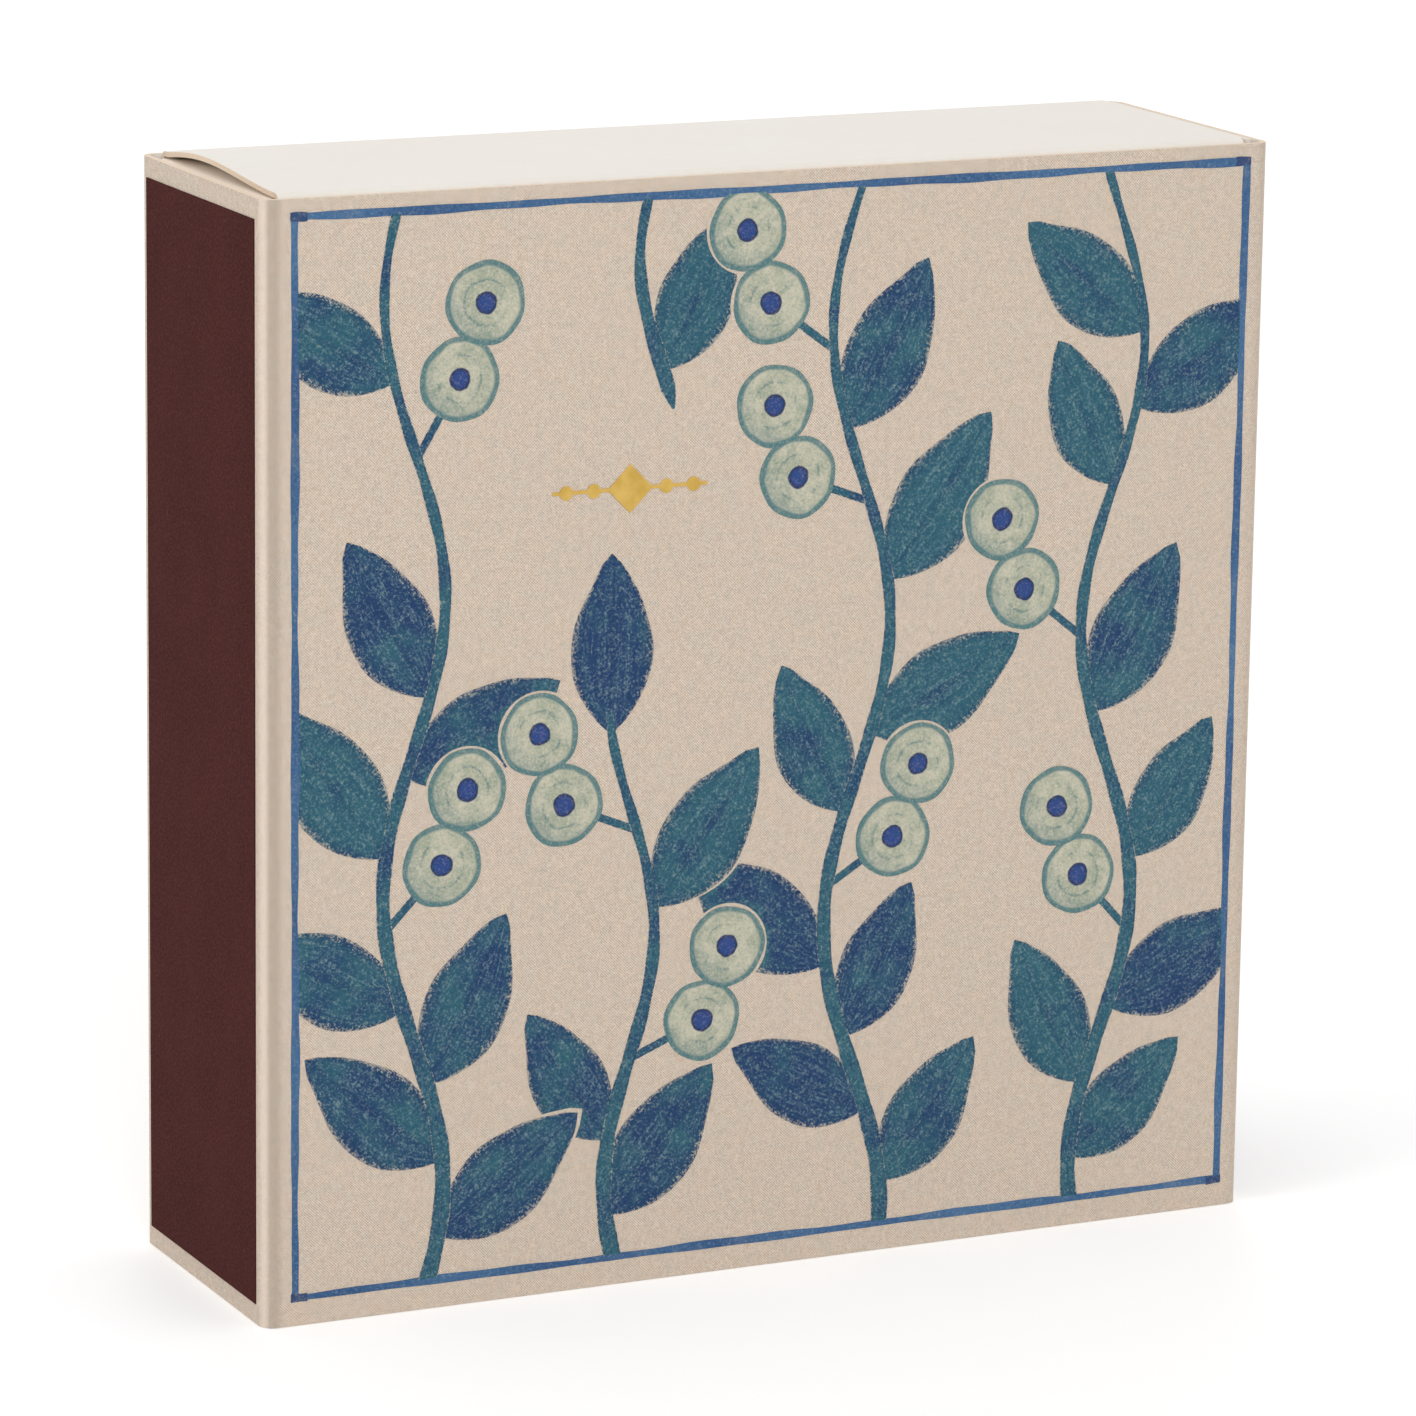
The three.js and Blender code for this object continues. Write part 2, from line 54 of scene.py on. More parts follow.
box_low, box_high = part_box("sleeve")
WIDTH = box_high.x - box_low.x
DEPTH = box_high.y - box_low.y
HEIGHT = box_high.z
FRONT_Y = box_low.y
print("sleeve", round(WIDTH / MM, 1), round(DEPTH / MM, 1), round(HEIGHT / MM, 1), "mm")

# %% [markdown]
# The camera stands a little to the left of the box and a little above it, with a long lens, so that
# the front, the striking strip and the top of the tray all show. It could be turned by hand until the
# picture looks right. Here its numbers are worked out from the box's edges in the picture instead: a
# direction to look from, a distance, a slight roll, and a focal length in picture pixels.

# %% Camera
PICTURE_PIXELS = 1416
SENSOR_WIDTH = 36.0
FOCAL_PIXELS = 6958
VIEW_AZIMUTH = math.radians(-25.6)
VIEW_HEIGHT = math.radians(12.9)
VIEW_ROLL = math.radians(0.76)
VIEW_DISTANCE = 696.3 * MM
VIEW_SIDESTEP = 0.25 * MM
VIEW_RISE = -1.44 * MM
CLIP_START = 10 * MM


def add_camera():
    towards = Vector(
        (
            math.sin(VIEW_AZIMUTH) * math.cos(VIEW_HEIGHT),
            -math.cos(VIEW_AZIMUTH) * math.cos(VIEW_HEIGHT),
            math.sin(VIEW_HEIGHT),
        )
    )
    level_right = (-towards).cross(Vector((0, 0, 1))).normalized()
    level_up = level_right.cross(-towards)
    right = math.cos(VIEW_ROLL) * level_right + math.sin(VIEW_ROLL) * level_up
    up = math.cos(VIEW_ROLL) * level_up - math.sin(VIEW_ROLL) * level_right
    place = Vector((0, 0, HEIGHT / 2)) + towards * VIEW_DISTANCE
    place += right * VIEW_SIDESTEP + up * VIEW_RISE
    data = bpy.data.cameras.new("portrait_camera")
    data.sensor_width = SENSOR_WIDTH
    data.lens = FOCAL_PIXELS / PICTURE_PIXELS * SENSOR_WIDTH
    data.clip_start = CLIP_START
    camera = bpy.data.objects.new("portrait_camera", data)
    camera.matrix_world = Matrix(
        (
            (right.x, up.x, towards.x, place.x),
            (right.y, up.y, towards.y, place.y),
            (right.z, up.z, towards.z, place.z),
            (0, 0, 0, 1),
        )
    )
    bpy.context.scene.collection.objects.link(camera)
    bpy.context.scene.camera = camera
    print("lens", round(data.lens, 1), "mm")


add_camera()

# %% [markdown]
# Shader maths is easier to read as arithmetic than as a web of nodes. `Socket` wraps one output and
# turns `+`, `-`, `*` and `**` into Math nodes. The reflected forms let a plain number stand first, as
# in `1 - mask`. Colours are written as they are read off a screen, and `srgb` makes them linear.

# %% Sockets that do arithmetic


def srgb(red, green, blue):
    """A colour read off a screen, 0 to 255, as the linear colour that Blender wants."""
    linear = []
    for value in (red, green, blue):
        share = value / 255
        linear.append(share / 12.92 if share <= 0.04045 else ((share + 0.055) / 1.055) ** 2.4)
    return (*linear, 1.0)


class Socket:
    """One output of a shader node, usable in plain arithmetic."""

    def __init__(self, recipe, output):
        self.recipe = recipe
        self.output = output

    def __add__(self, other):
        return self.recipe.maths("ADD", self, other)

    def __radd__(self, other):
        return self.recipe.maths("ADD", other, self)

    def __sub__(self, other):
        return self.recipe.maths("SUBTRACT", self, other)

    def __rsub__(self, other):
        return self.recipe.maths("SUBTRACT", other, self)

    def __mul__(self, other):
        return self.recipe.maths("MULTIPLY", self, other)

    def __rmul__(self, other):
        return self.recipe.maths("MULTIPLY", other, self)

    def __pow__(self, other):
        return self.recipe.maths("POWER", self, other)


print("middle grey is", round(srgb(128, 128, 128)[0], 3), "in linear light")

# %% [markdown]
# `Recipe` is one material being written. Its `node` method makes any node from its type, its settings
# and its inputs. The short methods after it stand for the nodes that the finishes below use often.

# %% Recipes for materials


class Recipe:
    """One material under construction."""

    def __init__(self, name):
        self.material = bpy.data.materials.new(name)
        self.material.use_nodes = True
        self.tree = self.material.node_tree
        self.tree.nodes.clear()

    def maths(self, operation, first, second=0.0):
        return self.node("ShaderNodeMath", {"operation": operation}, {0: first, 1: second})

    def node(self, kind, settings=None, inputs=None, output=0):
        made = self.tree.nodes.new(kind)
        for key, value in (settings or {}).items():
            setattr(made, key, value)
        for key, value in (inputs or {}).items():
            if isinstance(value, Socket):
                self.tree.links.new(value.output, made.inputs[key])
            else:
                made.inputs[key].default_value = value
        return Socket(self, made.outputs[output])

    def split(self, vector):
        """The three numbers of a vector, each as its own socket."""
        made = self.tree.nodes.new("ShaderNodeSeparateXYZ")
        self.tree.links.new(vector.output, made.inputs[0])
        return [Socket(self, output) for output in made.outputs]

    def place(self):
        return self.node("ShaderNodeTexCoord", output="Object")

    def axes(self):
        return self.split(self.place())

    def uv(self):
        return self.split(self.node("ShaderNodeUVMap", {"uv_map": "UVMap"}))

    def vector(self, x, y, z=0.0):
        return self.node("ShaderNodeCombineXYZ", None, {0: x, 1: y, 2: z})

    def noise(self, vector, scale, detail=2.0, roughness=0.5):
        values = {"Vector": vector, "Scale": scale, "Detail": detail, "Roughness": roughness}
        return self.node("ShaderNodeTexNoise", None, values)

    def wave(self, value):
        return self.maths("SINE", value)

    def step(self, value, low, high):
        """0 below low, 1 above high, a smooth slope between."""
        return self.node(
            "ShaderNodeMapRange",
            {"interpolation_type": "SMOOTHSTEP"},
            {"Value": value, "From Min": low, "From Max": high},
        )

    def mix(self, share, first, second):
        # A Mix node set to colours keeps its colour inputs at 6 and 7 and its colour output at 2.
        inputs = {0: share, 6: first, 7: second}
        return self.node("ShaderNodeMix", {"data_type": "RGBA"}, inputs, output=2)

    def bump(self, height, distance, strength=1.0):
        inputs = {"Height": height, "Distance": distance, "Strength": strength}
        return self.node("ShaderNodeBump", None, inputs)

    def finish(self, inputs):
        self.surface(self.node("ShaderNodeBsdfPrincipled", None, inputs))
        return self.material

    def surface(self, shader):
        out = self.tree.nodes.new("ShaderNodeOutputMaterial")
        self.tree.links.new(shader.output, out.inputs["Surface"])


print("recipes ready")

# %% [markdown]
# The sleeve is wrapped in a paper with a very fine woven grain: two sets of thin diagonal threads,
# about a quarter of a millimetre apart. A picture of cloth could be laid over it, but a wave along
# each diagonal needs no picture and stays sharp close up. The paper is one sheet wrapped round the
# box, so `across` is measured along the wrap: it is X on a broad face, and on a narrow side it goes on
# with the distance from the fold.

# %% The woven grain
TWILL_PITCH = 0.28 * MM
RISING_THREADS = 0.3
FALLING_THREADS = 0.2


def twill(recipe):
    """The woven grain of the paper, from 0 in its grooves to 1 on its threads."""
    x, y, z = recipe.axes()
    turn = 2 * math.pi / TWILL_PITCH
    across = x - recipe.maths("SIGN", x) * (recipe.maths("ABSOLUTE", y) - DEPTH / 2)
    rising = recipe.wave((across + z) * turn)
    falling = recipe.wave((across - z) * turn)
    return (rising * RISING_THREADS + falling * FALLING_THREADS) + 0.5


print("threads along the width", round(WIDTH / TWILL_PITCH))

# %% [markdown]
# The wrap shows where it turns a corner. The very turn carries a painted highlight, a paler line where
# the rounded fold catches the light, and beside it runs a soft dark band of painted shade. Both are
# painted into the colour and are not made by the shape. Each is a window between two soft steps, and the
# measures below say where each step starts and ends. The painted shade is deepest at the left fold.

# %% Folds of the wrap
# The colour and the strengths of the painted shade beside each fold, deepest at the left fold.
CREASE_SHADE = srgb(160, 145, 130)
CREASE_STARTS = (0.2 * MM, 0.7 * MM)
CREASE_ENDS = (1.1 * MM, 2.2 * MM)
CREASE_FACE = (DEPTH / 2 - 0.9 * MM, DEPTH / 2 - 0.2 * MM)
CREASE_SHADE_AT_LEFT = 0.5
CREASE_SHADE_AT_BOTH = 0.08
LEFT_TO_RIGHT = (-10 * MM, 10 * MM)
# Where the painted highlight on each fold's turn lies, and how strong it is.
TURN_WIDTH = (0.25 * MM, 0.8 * MM)
TURN_DEPTH = (DEPTH / 2 - 1.5 * MM, DEPTH / 2 - 0.7 * MM)
TURN_HIGHLIGHT = 0.5


def fold_inset(recipe):
    """How far a point lies in from the narrow sides, and how far out towards the broad faces."""
    x, y, _ = recipe.axes()
    return WIDTH / 2 - recipe.maths("ABSOLUTE", x), recipe.maths("ABSOLUTE", y)


def crease_shade(recipe):
    """A soft dark band of painted shade on the broad faces, beside each fold."""
    inset, outwards = fold_inset(recipe)
    band = recipe.step(inset, *CREASE_STARTS) * (1.0 - recipe.step(inset, *CREASE_ENDS))
    towards_left = recipe.step(recipe.axes()[0] * -1.0, *LEFT_TO_RIGHT)
    shade_strength = towards_left * CREASE_SHADE_AT_LEFT + CREASE_SHADE_AT_BOTH
    return band * recipe.step(outwards, *CREASE_FACE) * shade_strength


def fold_highlight(recipe):
    """A painted highlight on the very turn of each fold, a paler line where the rounded fold catches the
    light.
    """
    inset, outwards = fold_inset(recipe)
    return (1.0 - recipe.step(inset, *TURN_WIDTH)) * recipe.step(outwards, *TURN_DEPTH)


print("folds at", round(WIDTH / 2 / MM, 1), "mm to each side")

# %% [markdown]
# Three layers make the paper's colour: its threads, a finer grain that breaks them up, and warm and cool
# clouds. The tray is bare board instead, off-white outside and warmer where it was cut, so one function
# makes its three finishes from three pairs of tints. The tabs' finish is the same board painted warmer
# and lighter, as painted warm bounce light in the shade under the end walls.

# %% Card finishes
THREAD_LIGHT = srgb(226, 210, 194)
THREAD_DARK = srgb(170, 154, 138)
PAPER_WARM = srgb(214, 190, 168)
PAPER_COOL = srgb(196, 188, 176)
PAPER_TINT = 0.22
GRAIN_SCALE = 5200
GRAIN_DEPTH = 2.1
FLECK_SCALE = 1500
FLECK_DEPTH = 0.7
CLOUD_SCALE = 900
WEAVE_DEPTH = 1.2
BOARD = srgb(236, 232, 225)
BOARD_SHADE = srgb(232, 222, 211)
# The tabs' tints: the board painted warmer and lighter, as painted warm bounce light under the end
# walls.
TAB_BOUNCE_TINT = srgb(246, 232, 217)
TAB_BOUNCE_SHADE = srgb(238, 218, 200)
BOARD_CORE = srgb(232, 212, 190)
BOARD_CORE_SHADE = srgb(212, 186, 158)
CARD_GLOSS = 0.25


def paper_colour(recipe):
    where = recipe.place()
    grain = recipe.noise(where, GRAIN_SCALE, 2.0, 0.7)
    fleck = recipe.noise(where, FLECK_SCALE, 2.0, 0.6)
    cloud = recipe.noise(where, CLOUD_SCALE, 2.0, 0.6)
    threads = (grain - 0.5) * GRAIN_DEPTH + (twill(recipe) - 0.5) * WEAVE_DEPTH
    shade = threads + (fleck - 0.5) * FLECK_DEPTH + 0.5
    woven = recipe.mix(recipe.step(shade, 0.0, 1.0), THREAD_DARK, THREAD_LIGHT)
    tint = recipe.mix(recipe.step(cloud, 0.35, 0.65), PAPER_COOL, PAPER_WARM)
    tinted = recipe.mix(PAPER_TINT, woven, tint)
    # Painted shade beside each fold and a painted highlight on its turn go over the paper's own colour.
    crease_shaded = recipe.mix(crease_shade(recipe), tinted, CREASE_SHADE)
    return recipe.mix(fold_highlight(recipe) * TURN_HIGHLIGHT, crease_shaded, THREAD_LIGHT)


def printed_card():
    recipe = Recipe("printed_card")
    weave = twill(recipe)
    fibres = recipe.noise(recipe.place(), 900, 3.0)
    height = weave * 0.6 + fibres * 0.7
    return recipe.finish(
        {
            "Base Color": paper_colour(recipe),
            "Roughness": 0.8,
            "Specular IOR Level": CARD_GLOSS,
            "Normal": recipe.bump(height, 0.03 * MM, 0.7),
        }
    )


def plain_board(name, tint, shade):
    recipe = Recipe(name)
    where = recipe.place()
    fibres = recipe.noise(where, 700, 4.0, 0.6)
    cloud = recipe.noise(where, 60, 2.0)
    share = recipe.step(fibres * 0.5 + cloud * 0.5, 0.3, 0.75) * 0.45
    return recipe.finish(
        {
            "Base Color": recipe.mix(share, tint, shade),
            "Roughness": 0.75,
            "Specular IOR Level": CARD_GLOSS,
            "Normal": recipe.bump(fibres, 0.02 * MM, 0.5),
        }
    )


PRINTED_CARD = printed_card()
TRAY_BOARD = plain_board("tray_board", BOARD, BOARD_SHADE)
TAB_BOUNCE_BOARD = plain_board("tab_board", TAB_BOUNCE_TINT, TAB_BOUNCE_SHADE)
CUT_BOARD = plain_board("cut_board", BOARD_CORE, BOARD_CORE_SHADE)
print("card finishes", PRINTED_CARD.name, TRAY_BOARD.name, TAB_BOUNCE_BOARD.name, CUT_BOARD.name)

# %% [markdown]
# Most of a box is flat strips of card. A cube pulled to size would do, but real edges are never
# perfectly sharp and catch a thin line of light. `eased_box` pulls a cube between two corners, then
# bevels every edge by a hair's breadth.

# %% Strips with eased edges


def new_object(name, mesh):
    made = bpy.data.objects.new(name, mesh)
    bpy.context.scene.collection.objects.link(made)
    return made


def eased_box(name, low, high, easing, material):
    shape = bmesh.new()
    bmesh.ops.create_cube(shape, size=1.0)
    bmesh.ops.scale(shape, vec=high - low, verts=shape.verts)
    bmesh.ops.translate(shape, vec=(low + high) / 2, verts=shape.verts)
    bmesh.ops.bevel(shape, geom=shape.edges[:], offset=easing, segments=2, affect="EDGES")
    mesh = bpy.data.meshes.new(name)
    shape.to_mesh(mesh)
    shape.free()
    mesh.materials.append(material)
    return new_object(name, mesh)


print("strips ready")

# %% [markdown]
# The striking strips are a maroon coat with a fine sandy grain. Here and there it has a faint scratch
# or a lighter speck, as on any unused box that has been handled. The frame's own strips are already
# the right size, but their rounded ends look soft, so a crisp coat of the same size takes the place
# of each.

# %% Striking strips
COAT_DARK = srgb(60, 26, 24)
COAT = srgb(66, 30, 28)
COAT_DUST = srgb(94, 52, 48)
COAT_SCRATCH = srgb(120, 78, 70)
SAND_SCALE = 3600
COAT_EASING = 0.03 * MM


def striking_coat():
    recipe = Recipe("striking_coat")
    where = recipe.place()
    x, y, z = recipe.axes()
    grain = recipe.noise(where, SAND_SCALE, 2.0, 0.75)
    cloud = recipe.noise(where, 110, 3.0, 0.55)
    streak = recipe.noise(recipe.vector(y * 900, z * 160, x * 100), 1.0, 3.0, 0.7)
    specks = recipe.step(recipe.noise(where, 1500, 1.0), 0.73, 0.79)
    scratch = recipe.step(streak, 0.7, 0.78) * 0.2
    base = recipe.mix(recipe.step(cloud, 0.3, 0.7), COAT_DARK, COAT)
    dusted = recipe.mix(recipe.step(grain, 0.42, 0.62) * 0.42, base, COAT_DUST)
    return recipe.finish(
        {
            "Base Color": recipe.mix(specks * 0.22 + scratch, dusted, COAT_SCRATCH),
            "Roughness": 0.85,
            "Specular IOR Level": 0.08,
            "Normal": recipe.bump(grain, 0.03 * MM, 0.8),
        }
    )


STRIKING_COAT = striking_coat()
for side in ("left", "right"):
    low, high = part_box("striker_" + side)
    coat = eased_box("coat_" + side, low, high, COAT_EASING, STRIKING_COAT)
    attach(coat, "sleeve")
    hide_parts("striker_" + side)
    print(coat.name, "length", round((high.z - low.z) / MM, 1), "mm")

# %% [markdown]
# The print looks drawn with coloured pencil and reproduced on the woven paper. Three things make
# that look: strokes that follow each shape, so the pigment runs along a leaf and not across it; a
# drift of hue between teal and deep blue; and the paper's grain showing through thin places. The
# strokes need to know a shape's own direction, so each printed shape carries a UV map: U runs along
# it and V across. A point attribute called `tone` says how blue the shape is.

# %% Pigment and leaf ink
TEAL = srgb(46, 92, 108)
TEAL_LIGHT = srgb(92, 132, 140)
NAVY = srgb(34, 62, 102)
DEEP = srgb(26, 54, 88)
BARE = srgb(150, 168, 166)
PAPER_LEFT = srgb(196, 184, 168)
INK_ROUGHNESS = 0.8
INK_GLOSS = 0.18


def tone_of(recipe):
    return recipe.node("ShaderNodeAttribute", {"attribute_name": "tone"}, output="Fac")


def pigment_grain(recipe):
    """How thinly the pigment lies: the paper's weave and tooth, 0 where it covers."""
    tooth = recipe.noise(recipe.place(), 4400, 2.0, 0.75)
    patch = recipe.noise(recipe.place(), 1300, 2.0, 0.6)
    return (tooth - 0.5) * 2.2 + (patch - 0.5) * 0.5 + (twill(recipe) - 0.5) * 0.25 + 0.5


def dry_ink(recipe, colour):
    """Pigment hardly shines, and the paper's weave stands up through it."""
    return recipe.finish(
        {
            "Base Color": colour,
            "Roughness": INK_ROUGHNESS,
            "Specular IOR Level": INK_GLOSS,
            "Normal": recipe.bump(twill(recipe), 0.02 * MM, 0.6),
        }
    )


def leaf_ink():
    recipe = Recipe("leaf_ink")
    where = recipe.place()
    along, across, _ = recipe.uv()
    tone = tone_of(recipe)
    strokes = recipe.noise(recipe.vector(along * 4.0, across * 15.0, tone * 40.0), 1.0, 3.0, 0.7)
    drift = recipe.noise(where, 190, 2.0, 0.55)
    grain = pigment_grain(recipe)
    sideways = recipe.maths("ABSOLUTE", across)
    edge = recipe.step(sideways + (strokes - 0.5) * 0.5, 0.6, 1.0)
    vein = 1.0 - recipe.step(sideways, 0.0, 0.16)
    blueness = recipe.step(tone + (drift - 0.5) * 2.2 + vein * 0.15, 0.15, 0.95)
    body = recipe.mix(blueness, TEAL, NAVY)
    light = recipe.step(strokes + (grain - 0.5) * 0.25, 0.45, 0.75)
    stroked = recipe.mix(light * 0.4, body, TEAL_LIGHT)
    dark = recipe.step(grain * -1.0 + (drift - 0.5) * 0.6, -0.5, 0.1)
    rimmed = recipe.mix(edge * 0.4 + vein * 0.2 + dark * 0.5, stroked, DEEP)
    thin = recipe.step(grain + (strokes - 0.5) * 0.5, 0.5, 1.1)
    inked = recipe.mix(thin * 0.5, rimmed, BARE)
    ragged = recipe.step(sideways + (grain - 0.5) * 0.3, 0.9, 1.04)
    return dry_ink(recipe, recipe.mix(ragged * 0.6, inked, PAPER_LEFT))


LEAF_INK = leaf_ink()
print("leaf ink nodes", len(LEAF_INK.node_tree.nodes))

# %% [markdown]
# A round fruit is a pale wash inside a drawn line, with a broken inner ring and a dark blue eye. Each
# of these could be its own small shape, but they are all rings about one middle. So the fruit's UV map
# runs from -1 to 1 with its middle at 0, and every ring is a step on the distance from there.

# %% Fruit ink
SAGE = srgb(160, 166, 146)
SAGE_LIGHT = srgb(188, 186, 166)
OUTLINE = srgb(66, 112, 118)
EYE = srgb(40, 66, 128)
EYE_RIM = srgb(34, 44, 86)
SPECK = srgb(214, 204, 186)
LIT_PLACE = (0.3, 0.35)
EYE_EDGE = (0.26, 0.3)
RIM_EDGE = (0.84, 0.9)


def length_of(across, up):
    return (across * across + up * up) ** 0.5


def fruit_ink():
    recipe = Recipe("fruit_ink")
    where = recipe.place()
    across, up, _ = recipe.uv()
    wobble = recipe.noise(where, 420, 2.0, 0.5) - 0.5
    patch = recipe.noise(where, 520, 3.0, 0.6)
    grain = pigment_grain(recipe)
    reach = length_of(across, up) + wobble * 0.14
    from_light = length_of(across - LIT_PLACE[0], up - LIT_PLACE[1]) + wobble * 0.5
    wash = recipe.mix(recipe.step(patch, 0.35, 0.65), SAGE_LIGHT, SAGE)
    shaded = recipe.mix(recipe.step(from_light, 0.8, 1.35) * 0.4, wash, OUTLINE)
    rim = recipe.step(reach + (grain - 0.5) * 0.06, *RIM_EDGE)
    ringed = recipe.mix(rim * 0.85, shaded, OUTLINE)
    petal = recipe.step(reach, 0.5, 0.54) * (1.0 - recipe.step(reach, 0.56, 0.6))
    lined = recipe.mix(petal * recipe.step(patch, 0.4, 0.6) * 0.5, ringed, OUTLINE)
    eye = 1.0 - recipe.step(reach, *EYE_EDGE)
    eye_colour = recipe.mix(recipe.step(reach, 0.16, 0.27), EYE, EYE_RIM)
    inked = recipe.mix(eye, lined, eye_colour)
    thin = recipe.step(grain, 0.42, 1.0) * (1.0 - eye * 0.75) * (1.0 - rim * 0.5)
    speckled = recipe.mix(thin * 0.55, inked, SPECK)
    dark = recipe.step(grain * -1.0, -0.45, 0.1)
    return dry_ink(recipe, recipe.mix(dark * 0.45, speckled, OUTLINE))


FRUIT_INK = fruit_ink()
print("fruit ink nodes", len(FRUIT_INK.node_tree.nodes))

# %% [markdown]
# The border was drawn with the same pencil, in long strokes, and the ink is darkest where it pooled at
# a corner. Here `tone` says how much of it pooled. The line is too thin for the weave to stand up
# through it, so this ink has no bump.

# %% Border ink
BORDER_BLUE = srgb(50, 82, 124)
BORDER_PALE = srgb(70, 108, 146)
BORDER_POOL = srgb(44, 58, 98)
BORDER_WORN = srgb(158, 166, 172)


def border_ink():
    recipe = Recipe("border_ink")
    where = recipe.place()
    along, across, _ = recipe.uv()
    strokes = recipe.noise(recipe.vector(along * 30.0, across * 2.5), 1.0, 3.0, 0.6)
    drift = recipe.noise(where, 60, 1.0)
    mixed = recipe.step(strokes * 0.5 + drift * 0.5, 0.35, 0.65)
    body = recipe.mix(mixed, BORDER_BLUE, BORDER_PALE)
    deep = recipe.mix(tone_of(recipe) * 0.8, body, BORDER_POOL)
    thin = recipe.step(pigment_grain(recipe), 0.5, 1.1)
    patch = recipe.step(recipe.noise(where, 260, 2.0), 0.5, 0.8)
    return recipe.finish(
        {
            "Base Color": recipe.mix(thin * 0.4 + patch * 0.12, deep, BORDER_WORN),
            "Roughness": INK_ROUGHNESS,
            "Specular IOR Level": INK_GLOSS,
        }
    )


BORDER_INK = border_ink()
print("border ink nodes", len(BORDER_INK.node_tree.nodes))

# %% [markdown]
# Every printed shape is a thin plate on the sleeve's front. A grid of points makes its outer face, so
# it has room for a UV map, and the same grid set back to the card makes its underside. The plates are
# drawn flat in millimetres, X across and Z up, because thin shapes cut more cleanly at that scale.
# `settle` then joins them, scales them to metres and sets them against the card.

# %% Plates of ink
INK = 0.05
DISC_SIDES = 48


def closed_mesh(name, points, faces):
    """A mesh from its points and faces, with every face turned outwards."""
    mesh = bpy.data.meshes.new(name)
    mesh.from_pydata(points, [], faces)
    shape = bmesh.new()
    shape.from_mesh(mesh)
    bmesh.ops.recalc_face_normals(shape, faces=shape.faces)
    shape.to_mesh(mesh)
    shape.free()
    return mesh


def plate(name, layout, material):
    """A closed plate. The layout holds its places, its faces, its edge loop, UVs, tone and height."""
    count = len(layout["places"])
    points = [(x, -layout["lift"], z) for x, z in layout["places"]]
    points += [(x, 0.0, z) for x, z in layout["places"]]
    faces = [list(face) for face in layout["faces"]]
    faces += [[index + count for index in reversed(face)] for face in layout["faces"]]
    loop = layout["loop"]
    for here, there in zip(loop, loop[1:] + loop[:1]):
        faces.append([there, here, here + count, there + count])
    mesh = closed_mesh(name, points, faces)
    uvs = mesh.uv_layers.new(name="UVMap")
    for corner in mesh.loops:
        uvs.data[corner.index].uv = layout["uvs"][corner.vertex_index % count]
    tones = mesh.attributes.new("tone", "FLOAT", "POINT")
    tones.data.foreach_set("value", [layout["tone"]] * (2 * count))
    mesh.materials.append(material)
    return new_object(name, mesh)


def grid_layout(rows, uv_rows, tone, lift):
    count = len(rows)
    length = len(rows[0])
    faces = []
    for i in range(count - 1):
        for j in range(length - 1):
            near = i * length + j
            far = near + length
            faces.append((near, near + 1, far + 1, far))
    loop = list(range(length))
    loop += [i * length + length - 1 for i in range(1, count)]
    loop += [(count - 1) * length + j for j in range(length - 2, -1, -1)]
    loop += [i * length for i in range(count - 2, 0, -1)]
    places = [place for row in rows for place in row]
    uvs = [uv for row in uv_rows for uv in row]
    return {"places": places, "faces": faces, "loop": loop, "uvs": uvs, "tone": tone, "lift": lift}


def disc_layout(centre, outline, rings, tone, lift):
    """A round plate. The outline gives its edge's distance at an angle."""
    places = [tuple(centre)]
    uvs = [(0.0, 0.0)]
    for ring in range(1, rings + 1):
        for side in range(DISC_SIDES):
            angle = 2 * math.pi * side / DISC_SIDES
            share = ring / rings
            reach = outline(angle) * share
            places.append((centre[0] + reach * math.cos(angle), centre[1] + reach * math.sin(angle)))
            uvs.append((share * math.cos(angle), share * math.sin(angle)))
    faces = [(0, 1 + side, 1 + (side + 1) % DISC_SIDES) for side in range(DISC_SIDES)]
    for ring in range(1, rings):
        inner = 1 + (ring - 1) * DISC_SIDES
        outer = inner + DISC_SIDES
        for side in range(DISC_SIDES):
            after = (side + 1) % DISC_SIDES
            faces.append((inner + side, outer + side, outer + after, inner + after))
    loop = [1 + (rings - 1) * DISC_SIDES + side for side in range(DISC_SIDES)]
    return {"places": places, "faces": faces, "loop": loop, "uvs": uvs, "tone": tone, "lift": lift}


def join(pieces, name):
    with bpy.context.temp_override(active_object=pieces[0], selected_editable_objects=pieces):
        bpy.ops.object.join()
    pieces[0].name = name
    pieces[0].data.name = name
    return pieces[0]


def settle(name, plates):
    """Joins plates into one piece, in metres, against the front of the sleeve."""
    piece = join(plates, name)
    piece.data.transform(Matrix.Translation((0, FRONT_Y, 0)) @ Matrix.Scale(MM, 4))
    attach(piece, "sleeve")
    return piece


print("ink stands", INK, "mm proud of the card")

# %% [markdown]
# The drawn border is one line round the front, drawn by hand. A swept rectangle would be dead
# straight, so each side is its own stroke, and its width and its path wander by a tenth of a
# millimetre. A short darker stroke squares each corner, where the pencil was set down twice. Where
# strokes cross, each lies at its own height, so no two faces share one plane.

# %% Drawn border
LINE = 0.8
MARGIN_LEFT = 2.8
MARGIN_RIGHT = 2.3
MARGIN_FOOT = 2.4
MARGIN_TOP = 1.3
frame_left = box_low.x / MM + MARGIN_LEFT
frame_right = box_high.x / MM - MARGIN_RIGHT
frame_foot = MARGIN_FOOT
frame_top = HEIGHT / MM - MARGIN_TOP
STROKE_STEPS = 90
CORNER_STROKE = 1.7
CORNER_STEPS = 6
CORNER_OVERHANG = 0.03
CORNER_LIFT = 0.98
SIDE_LIFT = 0.93
SIDE_LIFT_STEP = 0.01
SLOW_WANDER = 0.09
QUICK_WANDER = 0.05


def wander(seed, position):
    """How far a line strays from straight, in millimetres: a slow sway and a quicker one."""
    slow = SLOW_WANDER * math.sin(position * 0.21 + seed)
    return slow + QUICK_WANDER * math.sin(position * 0.67 + 2.3 * seed)


